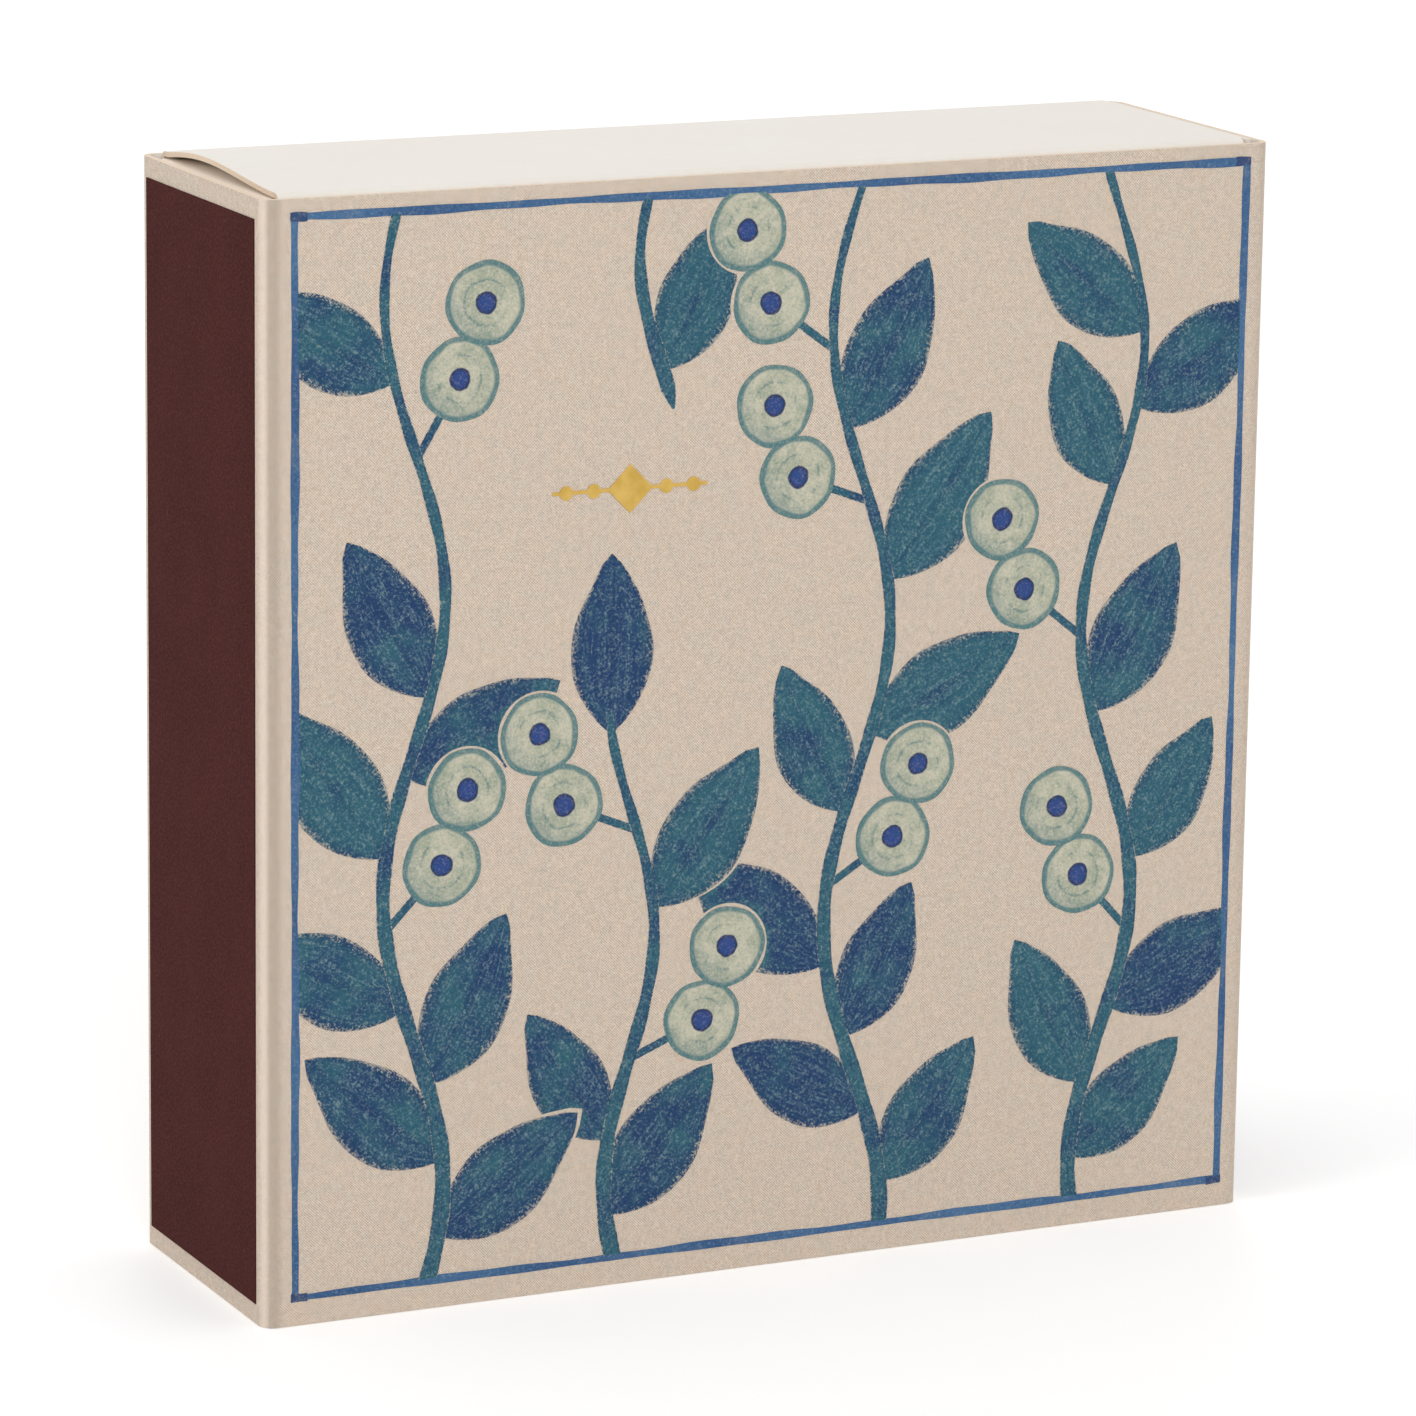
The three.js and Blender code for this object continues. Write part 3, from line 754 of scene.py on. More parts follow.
def border_stroke(start, end, seed, lift):
    """One long stroke. Its width grows to the left of its own direction."""
    run = (end - start).length
    along = (end - start).normalized()
    inward = Vector((-along.y, along.x))
    rows = [[], [], []]
    uvs = [[], [], []]
    for i in range(STROKE_STEPS + 1):
        position = run * i / STROKE_STEPS
        outer = wander(seed, position) * 0.5 + 0.05
        inner = LINE + wander(seed + 4.0, position)
        for row, share in enumerate((0.0, 0.5, 1.0)):
            place = start + along * position + inward * (outer + (inner - outer) * share)
            rows[row].append((place.x, place.y))
            uvs[row].append((position / 10, share))
    return plate("stroke", grid_layout(rows, uvs, 0.0, lift), BORDER_INK)


def corner_stroke(corner, sideways, upwards, seed, lift):
    """The short darker stroke that squares a corner."""
    rows = []
    uvs = []
    for i in range(3):
        height = -CORNER_OVERHANG + (LINE + 0.05) * i / 2
        row = []
        for j in range(CORNER_STEPS + 1):
            reach = -0.02 + CORNER_STROKE * j / CORNER_STEPS
            ripple = 0.05 * math.sin(2.2 * reach + seed + i)
            row.append((corner.x + sideways * reach, corner.y + upwards * (height + ripple)))
        rows.append(row)
        uvs.append([(j * 0.1, i / 2) for j in range(CORNER_STEPS + 1)])
    return plate("corner", grid_layout(rows, uvs, 1.0, lift), BORDER_INK)


def drawn_border():
    corners = [
        Vector((frame_left, frame_foot)),
        Vector((frame_right, frame_foot)),
        Vector((frame_right, frame_top)),
        Vector((frame_left, frame_top)),
    ]
    middle = Vector(((frame_left + frame_right) / 2, (frame_foot + frame_top) / 2))
    plates = []
    for side, corner in enumerate(corners):
        lift = INK * (SIDE_LIFT + SIDE_LIFT_STEP * side)
        plates.append(border_stroke(corner, corners[(side + 1) % 4], 1.7 * side + 0.4, lift))
        sideways = math.copysign(1, middle.x - corner.x)
        upwards = math.copysign(1, middle.y - corner.y)
        plates.append(corner_stroke(corner, sideways, upwards, side, INK * CORNER_LIFT))
    return settle("drawn_border", plates)


border = drawn_border()
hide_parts("print_border")
print("border points", len(border.data.vertices))

# %% [markdown]
# The vines stand on the border's foot and climb with a slow swing, but for one that starts free above
# the ornament. A side shoot leaves each stem at an even pitch, now left, now right, and carries a leaf
# or a twig with two round fruits. The numbers are those of the solid print, so each drawn shape lies
# where its solid lies. `Vine` works out the stem, and `shoots` walks up it past the ornament.

# %% Vines and their shoots
VINES = {
    "vine_left": {"x": frame_left + 12.7, "swing": 3.2, "wave": 58, "phase": 0.2, "fruits": (4, 10)},
    "vine_short": {
        "x": -15.5,
        "swing": 2.6,
        "wave": 50,
        "phase": 3.4,
        "drop": 50.7,
        "fruits": (2, 5),
        "tip_leaf": True,
    },
    "vine_upper": {
        "x": -13,
        "swing": 2.2,
        "wave": 40,
        "phase": 1.2,
        "foot": frame_top - 24.7,
        "fruits": (),
    },
    "vine_middle": {"x": 9, "swing": 3.4, "wave": 60, "phase": 1.1, "fruits": (4, 9, 11)},
    "vine_right": {"x": frame_right - 14.7, "swing": 3.2, "wave": 56, "phase": 4.0, "fruits": (3, 7)},
}
GAP = 0.3
FOOT_WIDTH = 1.8
TIP_WIDTH = 0.9
TWIG_WIDTH = 0.8
SHOOT_PITCH = 7.7
FIRST_SHOOT = 4
LEAF_LENGTH = 17.5
LEAF_WIDTH = 8.8
LEAF_ANGLE = math.radians(50)
LEAF_BEND = 1.6
LEAF_BELLY = 0.85
LEAF_GROWTH = 0.2
LAST_SHOOT = 3.2
FRUIT_RADIUS = 4.1
FRUIT_TWIG = 4.4
FRUIT_OVERLAP = 0.5
FRUIT_LEAN = math.radians(70)
ORNAMENT = {
    "x": -16,
    "z": frame_top - 28.7,
    "lozenge": 2.4,
    "dot": 0.7,
    "dots": 2,
    "spacing": 2.9,
    "rule": 0.35,
}
ORNAMENT_ROOM = 1
ORNAMENT_HEADROOM = 6


def uneven(index):
    """A small repeatable unevenness, from -0.5 to 0.5."""
    wave = math.sin(index * 12.9898 + 4.1414) * 43758.5453
    return wave - math.floor(wave) - 0.5


def heading(angle):
    return Vector((math.cos(angle), math.sin(angle)))


class Vine:
    def __init__(self, name, x, swing, wave, phase, fruits, foot=0, drop=0, tip_leaf=False):
        self.name = name
        self.x = x
        self.swing = swing
        self.wave = wave
        self.phase = phase
        self.fruits = fruits
        self.tip_leaf = tip_leaf
        self.foot = frame_foot + LINE + GAP + foot
        self.top = frame_top - drop

    def point(self, z):
        return Vector((self.x + self.swing * math.sin(2 * math.pi * z / self.wave + self.phase), z))

    def width(self, z):
        share = (z - self.foot) / (self.top - self.foot)
        return FOOT_WIDTH + (TIP_WIDTH - FOOT_WIDTH) * share

    def shoots(self):
        first = self.foot + FIRST_SHOOT
        found = []
        for i in range(int((self.top - LAST_SHOOT - first) // SHOOT_PITCH)):
            base = self.point(first + i * SHOOT_PITCH)
            ahead = self.point(base.y + 1) - base
            side = 1 if i % 2 == 0 else -1
            angle = math.atan2(ahead.y, ahead.x) - side * LEAF_ANGLE
            scale = 1 + LEAF_GROWTH * uneven(i + self.x)
            if not near_ornament(base + heading(angle) * LEAF_LENGTH):
                found.append({"base": base, "angle": angle, "side": side, "scale": scale, "index": i})
        return found

    def leaves(self):
        found = [shoot for shoot in self.shoots() if shoot["index"] not in self.fruits]
        if self.tip_leaf:
            base = self.point(self.top - FOOT_WIDTH)
            tip = {"base": base, "angle": math.pi / 2, "side": 0, "scale": 1.0, "index": len(found)}
            found.append(tip)
        return found

    def fruit_shoots(self):
        return [shoot for shoot in self.shoots() if shoot["index"] in self.fruits]


def near_ornament(tip):
    reach = ORNAMENT["lozenge"] + ORNAMENT["dots"] * ORNAMENT["spacing"] + ORNAMENT_ROOM
    return abs(tip.x - ORNAMENT["x"]) < reach and abs(tip.y - ORNAMENT["z"]) < ORNAMENT_HEADROOM


def fruit_centres(shoot):
    first = shoot["base"] + heading(shoot["angle"]) * (FRUIT_TWIG + FRUIT_RADIUS)
    outwards = Vector((shoot["side"] * math.cos(FRUIT_LEAN), math.sin(FRUIT_LEAN)))
    return [first, first + outwards * (2 * FRUIT_RADIUS - FRUIT_OVERLAP)]


vines = [Vine(name, **facts) for name, facts in VINES.items()]
print("shoots", {vine.name: len(vine.shoots()) for vine in vines})

# %% [markdown]
# A leaf is a grid that runs from stalk to tip and swells in the middle. A stem or a twig is a band of
# even rows along a line. Both have a small hand wobble at their edges. Each shape is first worked out
# as rows of places, because the same rows, grown a little, later cut room for it in its neighbours.

# %% Leaves and stems
LEAF_STATIONS = 18
LEAF_STRIPS = 6
LEAF_WOBBLE = 0.12
LEAF_TIP = 0.05
STEM_STEPS = 90
STEM_STRIPS = 4
STEM_WOBBLE = 0.06
STEM_TUCK = 0.9
STANDS_ON_BORDER = 5
TAPER_START = 0.15
TAPER_STEPS = 10


def leaf_half(share, width):
    stalk = TIP_WIDTH / 2
    if share >= 1:
        return LEAF_TIP
    return stalk + (width / 2 - stalk) * math.sin(math.pi * share**LEAF_BELLY)


def leaf_rows(shoot, grow, strips, wobble):
    """Rows of places from the stalk to the tip, each running from the right edge to the left."""
    length = LEAF_LENGTH * shoot["scale"] + 2 * grow
    width = LEAF_WIDTH * shoot["scale"] + 2 * grow
    along = heading(shoot["angle"])
    across = Vector((-along.y, along.x))
    rows = []
    for i in range(LEAF_STATIONS + 1):
        share = i / LEAF_STATIONS
        half = leaf_half(share, width)
        bend = shoot["side"] * LEAF_BEND * share * share
        middle = shoot["base"] + along * (share * length) + across * bend
        row = []
        for j in range(strips + 1):
            side = 2 * j / strips - 1
            ripple = wobble * share * math.sin(share * 17 + shoot["index"] * 2.1 + side * 1.4)
            row.append(tuple(middle + across * (side * (half + ripple))))
        rows.append(row)
    return rows


def leaf_plate(shoot, tone, lift):
    rows = leaf_rows(shoot, 0.0, LEAF_STRIPS, LEAF_WOBBLE)
    uvs = []
    for i in range(LEAF_STATIONS + 1):
        uvs.append([(i / LEAF_STATIONS, 2 * j / LEAF_STRIPS - 1) for j in range(LEAF_STRIPS + 1)])
    return plate("leaf", grid_layout(rows, uvs, tone, lift), LEAF_INK)


def band_rows(points, half_at, strips):
    rows = []
    for i, point in enumerate(points):
        ahead = points[min(i + 1, len(points) - 1)] - points[max(i - 1, 0)]
        across = Vector((-ahead.y, ahead.x)).normalized()
        sides = [2 * j / strips - 1 for j in range(strips + 1)]
        rows.append([tuple(point + across * (half_at(i) * side)) for side in sides])
    return rows


def stem_points(vine):
    height = vine.top - vine.foot
    return [vine.point(vine.foot + height * i / STEM_STEPS) for i in range(STEM_STEPS + 1)]


def stem_rows(vine, grow, strips, wobble):
    """A stem that stands on the border is tucked under it. One that hangs free starts in a point."""
    stands = vine.foot < frame_foot + STANDS_ON_BORDER
    points = ([vine.point(vine.foot - STEM_TUCK)] if stands else []) + stem_points(vine)

    def half_at(i):
        half = vine.width(points[i].y) / 2 + grow + wobble * math.sin(points[i].y * 0.9 + vine.x)
        return half if stands else half * min(1, TAPER_START + i / TAPER_STEPS)

    return band_rows(points, half_at, strips)


def band_plate(rows, tone, lift):
    strips = len(rows[0]) - 1
    uvs = [[(i * 0.12, 2 * j / strips - 1) for j in range(strips + 1)] for i in range(len(rows))]
    return plate("band", grid_layout(rows, uvs, tone, lift), LEAF_INK)


print("a leaf has", LEAF_STATIONS, "by", LEAF_STRIPS, "faces")

# %% [markdown]
# Where a leaf would cross a fruit or an earlier vine, the printer leaves a bare gap. So a grown copy
# of each shape stands up as a tall prism, and a Boolean modifier takes it away from whatever it
# reaches. All the modifiers are worked out in one evaluation, because each evaluation costs time.
# A leaf can be cut in two, and `keep_rooted` then keeps the part that still hangs on its stalk.

# %% Room between the shapes
PRISM_HALF = 1.0
ROUND_SIDES = 40
ROOT_REACH = 1.5


def cutter(outline, name):
    """A tall closed prism on an outline, used only to cut plates."""
    count = len(outline)
    points = [(x, -PRISM_HALF, z) for x, z in outline] + [(x, PRISM_HALF, z) for x, z in outline]
    faces = [list(range(count)), list(range(2 * count - 1, count - 1, -1))]
    faces += [[i, i + count, (i + 1) % count + count, (i + 1) % count] for i in range(count)]
    return new_object(name, closed_mesh(name, points, faces))


def edge_of(rows):
    """The outline of rows of places, once round."""
    return [row[0] for row in rows] + [row[-1] for row in reversed(rows)]


def circle(centre, radius):
    return [tuple(centre + heading(2 * math.pi * i / ROUND_SIDES) * radius) for i in range(ROUND_SIDES)]


def span(piece):
    xs = [point.co.x for point in piece.data.vertices]
    zs = [point.co.z for point in piece.data.vertices]
    return min(xs), max(xs), min(zs), max(zs)


def apart(first, second):
    return first[1] < second[0] or second[1] < first[0] or first[3] < second[2] or second[3] < first[2]


def cut_away(piece, cutters):
    """Takes every cutter that reaches the piece away from it."""
    place = span(piece)
    reaching = [other for other in cutters if not apart(place, span(other))]
    for other in reaching:
        modifier = piece.modifiers.new("gap", "BOOLEAN")
        modifier.operation = "DIFFERENCE"
        modifier.solver = "EXACT"
        modifier.object = other
    return len(reaching)


def bake_modifiers(pieces):
    """Turns each piece's modifiers into plain mesh, all in one evaluation."""
    bpy.context.view_layer.update()
    graph = bpy.context.evaluated_depsgraph_get()
    for piece in pieces:
        if len(piece.modifiers):
            done = bpy.data.meshes.new_from_object(piece.evaluated_get(graph))
            piece.modifiers.clear()
            piece.data = done


def keep_rooted(piece, root):
    """Keeps only the part of a cut shape that still hangs on its stalk. False if none does."""
    shape = bmesh.new()
    shape.from_mesh(piece.data)

    def from_root(vertex):
        return math.hypot(vertex.co.x - root.x, vertex.co.z - root.y)

    start = min(shape.verts, key=from_root)
    rooted = from_root(start) < ROOT_REACH
    seen = {start}
    waiting = [start]
    while waiting:
        for edge in waiting.pop().link_edges:
            for vertex in edge.verts:
                if vertex not in seen:
                    seen.add(vertex)
                    waiting.append(vertex)
    loose = [vertex for vertex in shape.verts if vertex not in seen]
    bmesh.ops.delete(shape, geom=loose, context="VERTS")
    shape.to_mesh(piece.data)
    shape.free()
    return rooted


print("room round each shape", GAP, "mm")

# %% [markdown]
# Now the print is put together. Each fruit and each vine leaves room for itself, so a vine is cut by
# all the fruits and by the vines before it, and by four bars that cover everything outside the
# border. A twig lies under its own fruit, so only the bars cut it. A leaf that has lost its stalk is
# dropped.

# %% Drawing the vines
FIELD_INSET = LINE * 0.8
FIELD_FAR = 40
LEAF_LIFT = 0.84
LEAF_LIFT_STEP = 0.01
LEAF_LIFTS = 8
LEAF_TONE = 0.5
TONE_SPREAD = 0.9
TWIG_LIFT = 0.82
TWIG_TONE = 0.35
STEM_TONE = 0.3


def field_cutters():
    """Four bars that cover everything outside the printed field."""
    left = frame_left + FIELD_INSET
    right = frame_right - FIELD_INSET
    low = frame_foot + FIELD_INSET
    high = frame_top - FIELD_INSET
    far = FIELD_FAR
    boxes = [
        (left - far, left, low - far, high + far),
        (right, right + far, low - far, high + far),
        (left - far, right + far, low - far, low),
        (left - far, right + far, high, high + far),
    ]
    return [cutter([(a, c), (b, c), (b, d), (a, d)], "field_bar") for a, b, c, d in boxes]


def twig_rows(shoot, grow, strips):
    line = [shoot["base"], fruit_centres(shoot)[0]]
    return band_rows(line, lambda i: TWIG_WIDTH / 2 + grow, strips)


def vine_plates(vine):
    """Every plate of one vine, each with the place that it hangs from."""
    plates = []
    for number, shoot in enumerate(vine.leaves()):
        tone = LEAF_TONE + TONE_SPREAD * uneven(number * 3 + vine.x)
        lift = INK * (LEAF_LIFT + LEAF_LIFT_STEP * (number % LEAF_LIFTS))
        plates.append((leaf_plate(shoot, tone, lift), shoot["base"]))
    for shoot in vine.fruit_shoots():
        twig = band_plate(twig_rows(shoot, 0.0, 2), TWIG_TONE, INK * TWIG_LIFT)
        twig.name = "twig"
        plates.append((twig, shoot["base"]))
    rows = stem_rows(vine, 0.0, STEM_STRIPS, STEM_WOBBLE)
    plates.append((band_plate(rows, STEM_TONE, INK), vine.point(vine.foot)))
    return plates


def vine_cutters(vine):
    outlines = [leaf_rows(shoot, GAP, 1, 0.0) for shoot in vine.leaves()]
    outlines.append(stem_rows(vine, GAP, 1, 0.0))
    outlines += [twig_rows(shoot, GAP, 1) for shoot in vine.fruit_shoots()]
    return [cutter(edge_of(rows), "room") for rows in outlines]


def draw_vines():
    field = field_cutters()
    rooms = []
    for vine in vines:
        for shoot in vine.fruit_shoots():
            rooms += [cutter(circle(c, FRUIT_RADIUS + GAP), "room") for c in fruit_centres(shoot)]
    drawn = {}
    cuts = 0
    for vine in vines:
        plates = vine_plates(vine)
        for piece, root in plates:
            cuts += cut_away(piece, field if piece.name.startswith("twig") else rooms + field)
        rooms += vine_cutters(vine)
        drawn[vine.name] = plates
    bake_modifiers([piece for plates in drawn.values() for piece, root in plates])
    for spare in rooms + field:
        bpy.data.objects.remove(spare)
    for name, plates in drawn.items():
        kept = []
        for piece, root in plates:
            if len(piece.data.vertices) and keep_rooted(piece, root):
                kept.append(piece)
            else:
                bpy.data.objects.remove(piece)
        whole = settle("drawn_" + name, kept)
        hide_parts("print_" + name)
        print(name, "plates", len(kept), "points", len(whole.data.vertices))
    print("cuts", cuts)


draw_vines()

# %% [markdown]
# The round fruits come in pairs. Each is a disc with a slightly uneven rim, and the second lies over
# the first. Everything drawn inside it is in the ink's recipe, which only needs the UV map that
# `disc_layout` gives.

# %% Drawing the fruits
FRUIT_RINGS = 6
FIRST_FRUIT_LIFT = 0.9


def fruit_plate(centre, number, lift):
    def outline(angle):
        ripple = 0.07 * math.sin(3 * angle + number) + 0.04 * math.sin(7 * angle + 2 * number)
        return FRUIT_RADIUS + ripple

    return plate("fruit", disc_layout(centre, outline, FRUIT_RINGS, 0.0, lift), FRUIT_INK)


def draw_fruits():
    field = field_cutters()
    number = 0
    for vine in vines:
        for shoot in vine.fruit_shoots():
            number += 1
            first, second = fruit_centres(shoot)
            plates = [
                fruit_plate(first, 2 * number, INK * FIRST_FRUIT_LIFT),
                fruit_plate(second, 2 * number + 1, INK),
            ]
            for piece in plates:
                cut_away(piece, field)
            bake_modifiers(plates)
            pair = settle(f"drawn_fruits_{number}", plates)
            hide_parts(f"print_fruits_{number}")
    for spare in field:
        bpy.data.objects.remove(spare)
    print("pairs of fruits", number)


draw_fruits()

# %% [markdown]
# The ornament is stamped in gold foil: a lozenge and four dots on a fine rule. Foil is a real metal
# skin, so it gets a metallic shader. Its brightness comes from what it mirrors, and a little noise in
# the bump keeps it from looking like a sheet of glass.

# %% Foil ornament
FOIL_LIFT = 0.08
RULE_LIFT = 0.9
FOIL_RINGS = 2
GOLD = srgb(206, 168, 84)
GOLD_LIGHT = srgb(222, 186, 104)


def foil_skin():
    recipe = Recipe("foil_skin")
    where = recipe.place()
    crumple = recipe.noise(where, 1400, 2.0)
    cloud = recipe.noise(where, 500, 2.0)
    return recipe.finish(
        {
            "Base Color": recipe.mix(recipe.step(cloud, 0.3, 0.7), GOLD, GOLD_LIGHT),
            "Metallic": 1.0,
            "Roughness": 0.34,
            "Normal": recipe.bump(crumple, 0.01 * MM, 0.5),
        }
    )


def draw_ornament():
    skin = foil_skin()
    x = ORNAMENT["x"]
    z = ORNAMENT["z"]
    size = ORNAMENT["lozenge"]
    reach = size + ORNAMENT["dots"] * ORNAMENT["spacing"]
    half = ORNAMENT["rule"] / 2
    rows = [[(x - reach, level), (x + reach, level)] for level in (z - half, z + half)]
    flat = [[(0.0, 0.0), (1.0, 0.0)], [(0.0, 1.0), (1.0, 1.0)]]
    plates = [plate("rule", grid_layout(rows, flat, 0.0, FOIL_LIFT * RULE_LIFT), skin)]

    def stamp(name, centre, outline):
        plates.append(plate(name, disc_layout(centre, outline, FOIL_RINGS, 0.0, FOIL_LIFT), skin))

    stamp("lozenge", (x, z), lambda angle: size / (abs(math.cos(angle)) + abs(math.sin(angle))))
    for i in range(ORNAMENT["dots"]):
        for side in (-1, 1):
            centre = (x + side * (size + (i + 0.5) * ORNAMENT["spacing"]), z)
            stamp("dot", centre, lambda angle: ORNAMENT["dot"])
    return settle("stamped_ornament", plates)


ornament = draw_ornament()
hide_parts("foil_ornament")
print("ornament points", len(ornament.data.vertices))

# %% [markdown]
# Some pieces follow a rule, and a Geometry Nodes tree can hold that rule with its sizes as named
# inputs. `NodeTree` builds such a tree in the script, as `Recipe` builds a material. `run` sets the
# sizes by their sockets' identifiers, lets Blender work the tree out once, and hands back plain mesh.

# %% Trees that build shapes


class NodeTree:
    """A Geometry Nodes tree under construction, with named inputs for its sizes."""

    def __init__(self, name):
        self.tree = bpy.data.node_groups.new(name, "GeometryNodeTree")
        self.tree.interface.new_socket("Geometry", in_out="OUTPUT", socket_type="NodeSocketGeometry")
        self.identifiers = {}
        self.start = None

    def size(self, name, kind="NodeSocketFloat"):
        made = self.tree.interface.new_socket(name, in_out="INPUT", socket_type=kind)
        self.identifiers[name] = made.identifier

    def value(self, name):
        if self.start is None:
            self.start = self.tree.nodes.new("NodeGroupInput")
        return self.start.outputs[name]

    def node(self, kind, settings=None, inputs=None):
        made = self.tree.nodes.new(kind)
        for key, value in (settings or {}).items():
            setattr(made, key, value)
        for key, value in (inputs or {}).items():
            if isinstance(value, bpy.types.NodeSocket):
                self.tree.links.new(value, made.inputs[key])
            else:
                made.inputs[key].default_value = value
        return made

    def finish(self, geometry, materials=(), only=None):
        """Makes copies real. `only` covers every face, and other materials stay where they lie."""
        made = self.node("GeometryNodeRealizeInstances", None, {"Geometry": geometry})
        if only is not None:
            inputs = {"Geometry": made.outputs[0], "Material": only}
            made = self.node("GeometryNodeSetMaterial", None, inputs)
        for material in materials:
            own = self.node("GeometryNodeMaterialSelection", None, {"Material": material})
            inputs = {"Geometry": made.outputs[0], "Selection": own.outputs[0], "Material": material}
            made = self.node("GeometryNodeSetMaterial", None, inputs)
        end = self.tree.nodes.new("NodeGroupOutput")
        self.tree.links.new(made.outputs[0], end.inputs[0])

    def run(self, name, sizes):
        """Runs the tree on an empty object and returns it with the result as a plain mesh."""
        made = new_object(name, bpy.data.meshes.new(name))
        modifier = made.modifiers.new("build", "NODES")
        modifier.node_group = self.tree
        for key, value in sizes.items():
            modifier[self.identifiers[key]] = value
        bake_modifiers([made])
        made.data.name = name
        return made


print("trees ready")

# %% [markdown]
# The sleeve is one strip of card wrapped round four folds. Its shape follows a rule, a rounded
# rectangle raised straight up, so a small tree makes it: a quadrilateral, a fillet at each corner, and
# an edge extrusion. A Solidify modifier then gives the card its thickness inwards, with other
# materials on the inner face and on the cut ends, where the bare board shows. The faces shade
# smoothly round the folds, and break sharply at the cut ends.

# %% Wrapping the sleeve
CARD = 0.6 * MM
FOLD_RADIUS = 1.5 * MM
FOLD_POINTS = 10
WELD = 0.001 * MM
SHARP_ANGLE = math.radians(35)
INNER_FACE = 1
CUT_FACE = 2


def wrap_tree():
    tree = NodeTree("wrapped_card")
    for name in ("Width", "Depth", "Height", "Fold Radius"):
        tree.size(name)
    sides = tree.node(
        "GeometryNodeCurvePrimitiveQuadrilateral",
        {"mode": "RECTANGLE"},
        {"Width": tree.value("Width"), "Height": tree.value("Depth")},
    )
    rounded = tree.node(
        "GeometryNodeFilletCurve",
        {"mode": "POLY"},
        {"Curve": sides.outputs[0], "Count": FOLD_POINTS, "Radius": tree.value("Fold Radius")},
    )
    line = tree.node("GeometryNodeCurveToMesh", None, {"Curve": rounded.outputs[0]})
    upwards = tree.node("ShaderNodeCombineXYZ", None, {"Z": tree.value("Height")})
    raised = tree.node(
        "GeometryNodeExtrudeMesh",
        {"mode": "EDGES"},
        {"Mesh": line.outputs[0], "Offset": upwards.outputs[0], "Offset Scale": 1.0},
    )
    tree.finish(raised.outputs["Mesh"], only=PRINTED_CARD)
    return tree


def faces_outward(mesh):
    """Turns a tube's faces so that they point away from its axis."""
    shape = bmesh.new()
    shape.from_mesh(mesh)
    bmesh.ops.remove_doubles(shape, verts=shape.verts, dist=WELD)
    for face in shape.faces:
        centre = face.calc_center_median()
        if face.normal.x * centre.x + face.normal.y * centre.y < 0:
            face.normal_flip()
    shape.to_mesh(mesh)
    shape.free()


def wrapped_sleeve():
    sizes = {"Width": WIDTH, "Depth": DEPTH, "Height": HEIGHT, "Fold Radius": FOLD_RADIUS}
    piece = wrap_tree().run("wrapped_sleeve", sizes)
    faces_outward(piece.data)
    piece.data.materials.append(TRAY_BOARD)
    piece.data.materials.append(CUT_BOARD)
    wall = piece.modifiers.new("wall", "SOLIDIFY")
    wall.thickness = CARD
    wall.offset = -1
    wall.material_offset = INNER_FACE
    wall.material_offset_rim = CUT_FACE
    bake_modifiers([piece])
    piece.data.shade_smooth()
    piece.data.set_sharp_from_angle(angle=SHARP_ANGLE)
    return piece


wrap = wrapped_sleeve()
print("wrap faces", len(wrap.data.polygons))

# %% [markdown]
# The strip of card closes with a glue flap inside the right side. It is bare board, a plain eased
# strip against the inner face, and it stops just short of the sleeve's ends.

# %% Glue flap
FLAP_INSET = 3 * MM
FLAP_SHY = 0.02 * MM
FLAP_EASING = 0.06 * MM

flap_low = Vector((WIDTH / 2 - 2 * CARD, -DEPTH / 2 + FLAP_INSET, FLAP_SHY))
flap_high = Vector((WIDTH / 2 - CARD, DEPTH / 2 - CARD, HEIGHT - FLAP_SHY))
flap = eased_box("flap", flap_low, flap_high, FLAP_EASING, TRAY_BOARD)
sleeve_piece = join([wrap, flap], "wrapped_sleeve")
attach(sleeve_piece, "sleeve")
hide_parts("sleeve")
print("sleeve faces", len(sleeve_piece.data.polygons))

# %% [markdown]
# The tray is one folded blank, so every part of it is the same thin card bent along a line. Each
# stretch is made in the same way: a centre line seen from one side, an outline at half the card's
# thickness to each side of it, and a sweep of that outline through stations. A Bevel could round the
# folds of a plain box too, but the line shows each fold's own radius and keeps the card's thickness.

# %% Card bent along a line
CUT_FACING = 0.8


def arc(centre, radius, start, end, steps):
    """Points on an arc, angles in quarter turns."""
    points = []
    for i in range(steps + 1):
        angle = (start + (end - start) * i / steps) * math.pi / 2
        across = radius * math.cos(angle)
        upwards = radius * math.sin(angle)
        points.append(Vector((centre[0] + across, centre[1] + upwards)))
    return points


def straight(start, end, steps):
    """Points between two places, without the first."""
    return [start + (end - start) * ((i + 1) / steps) for i in range(steps)]


def band_outline(points, width):
    """A closed outline at half a width to each side of a line, mitred at its corners."""
    normals = []
    for here, there in zip(points, points[1:]):
        along = (there - here).normalized()
        normals.append(Vector((-along.y, along.x)))
    near = []
    far = []
    for i, point in enumerate(points):
        before = normals[max(i - 1, 0)]
        after = normals[min(i, len(normals) - 1)]
        across = (before + after) * (width / 2 / (1 + before.dot(after)))
        near.append(point - across)
        far.append(point + across)
    return near + far[::-1]


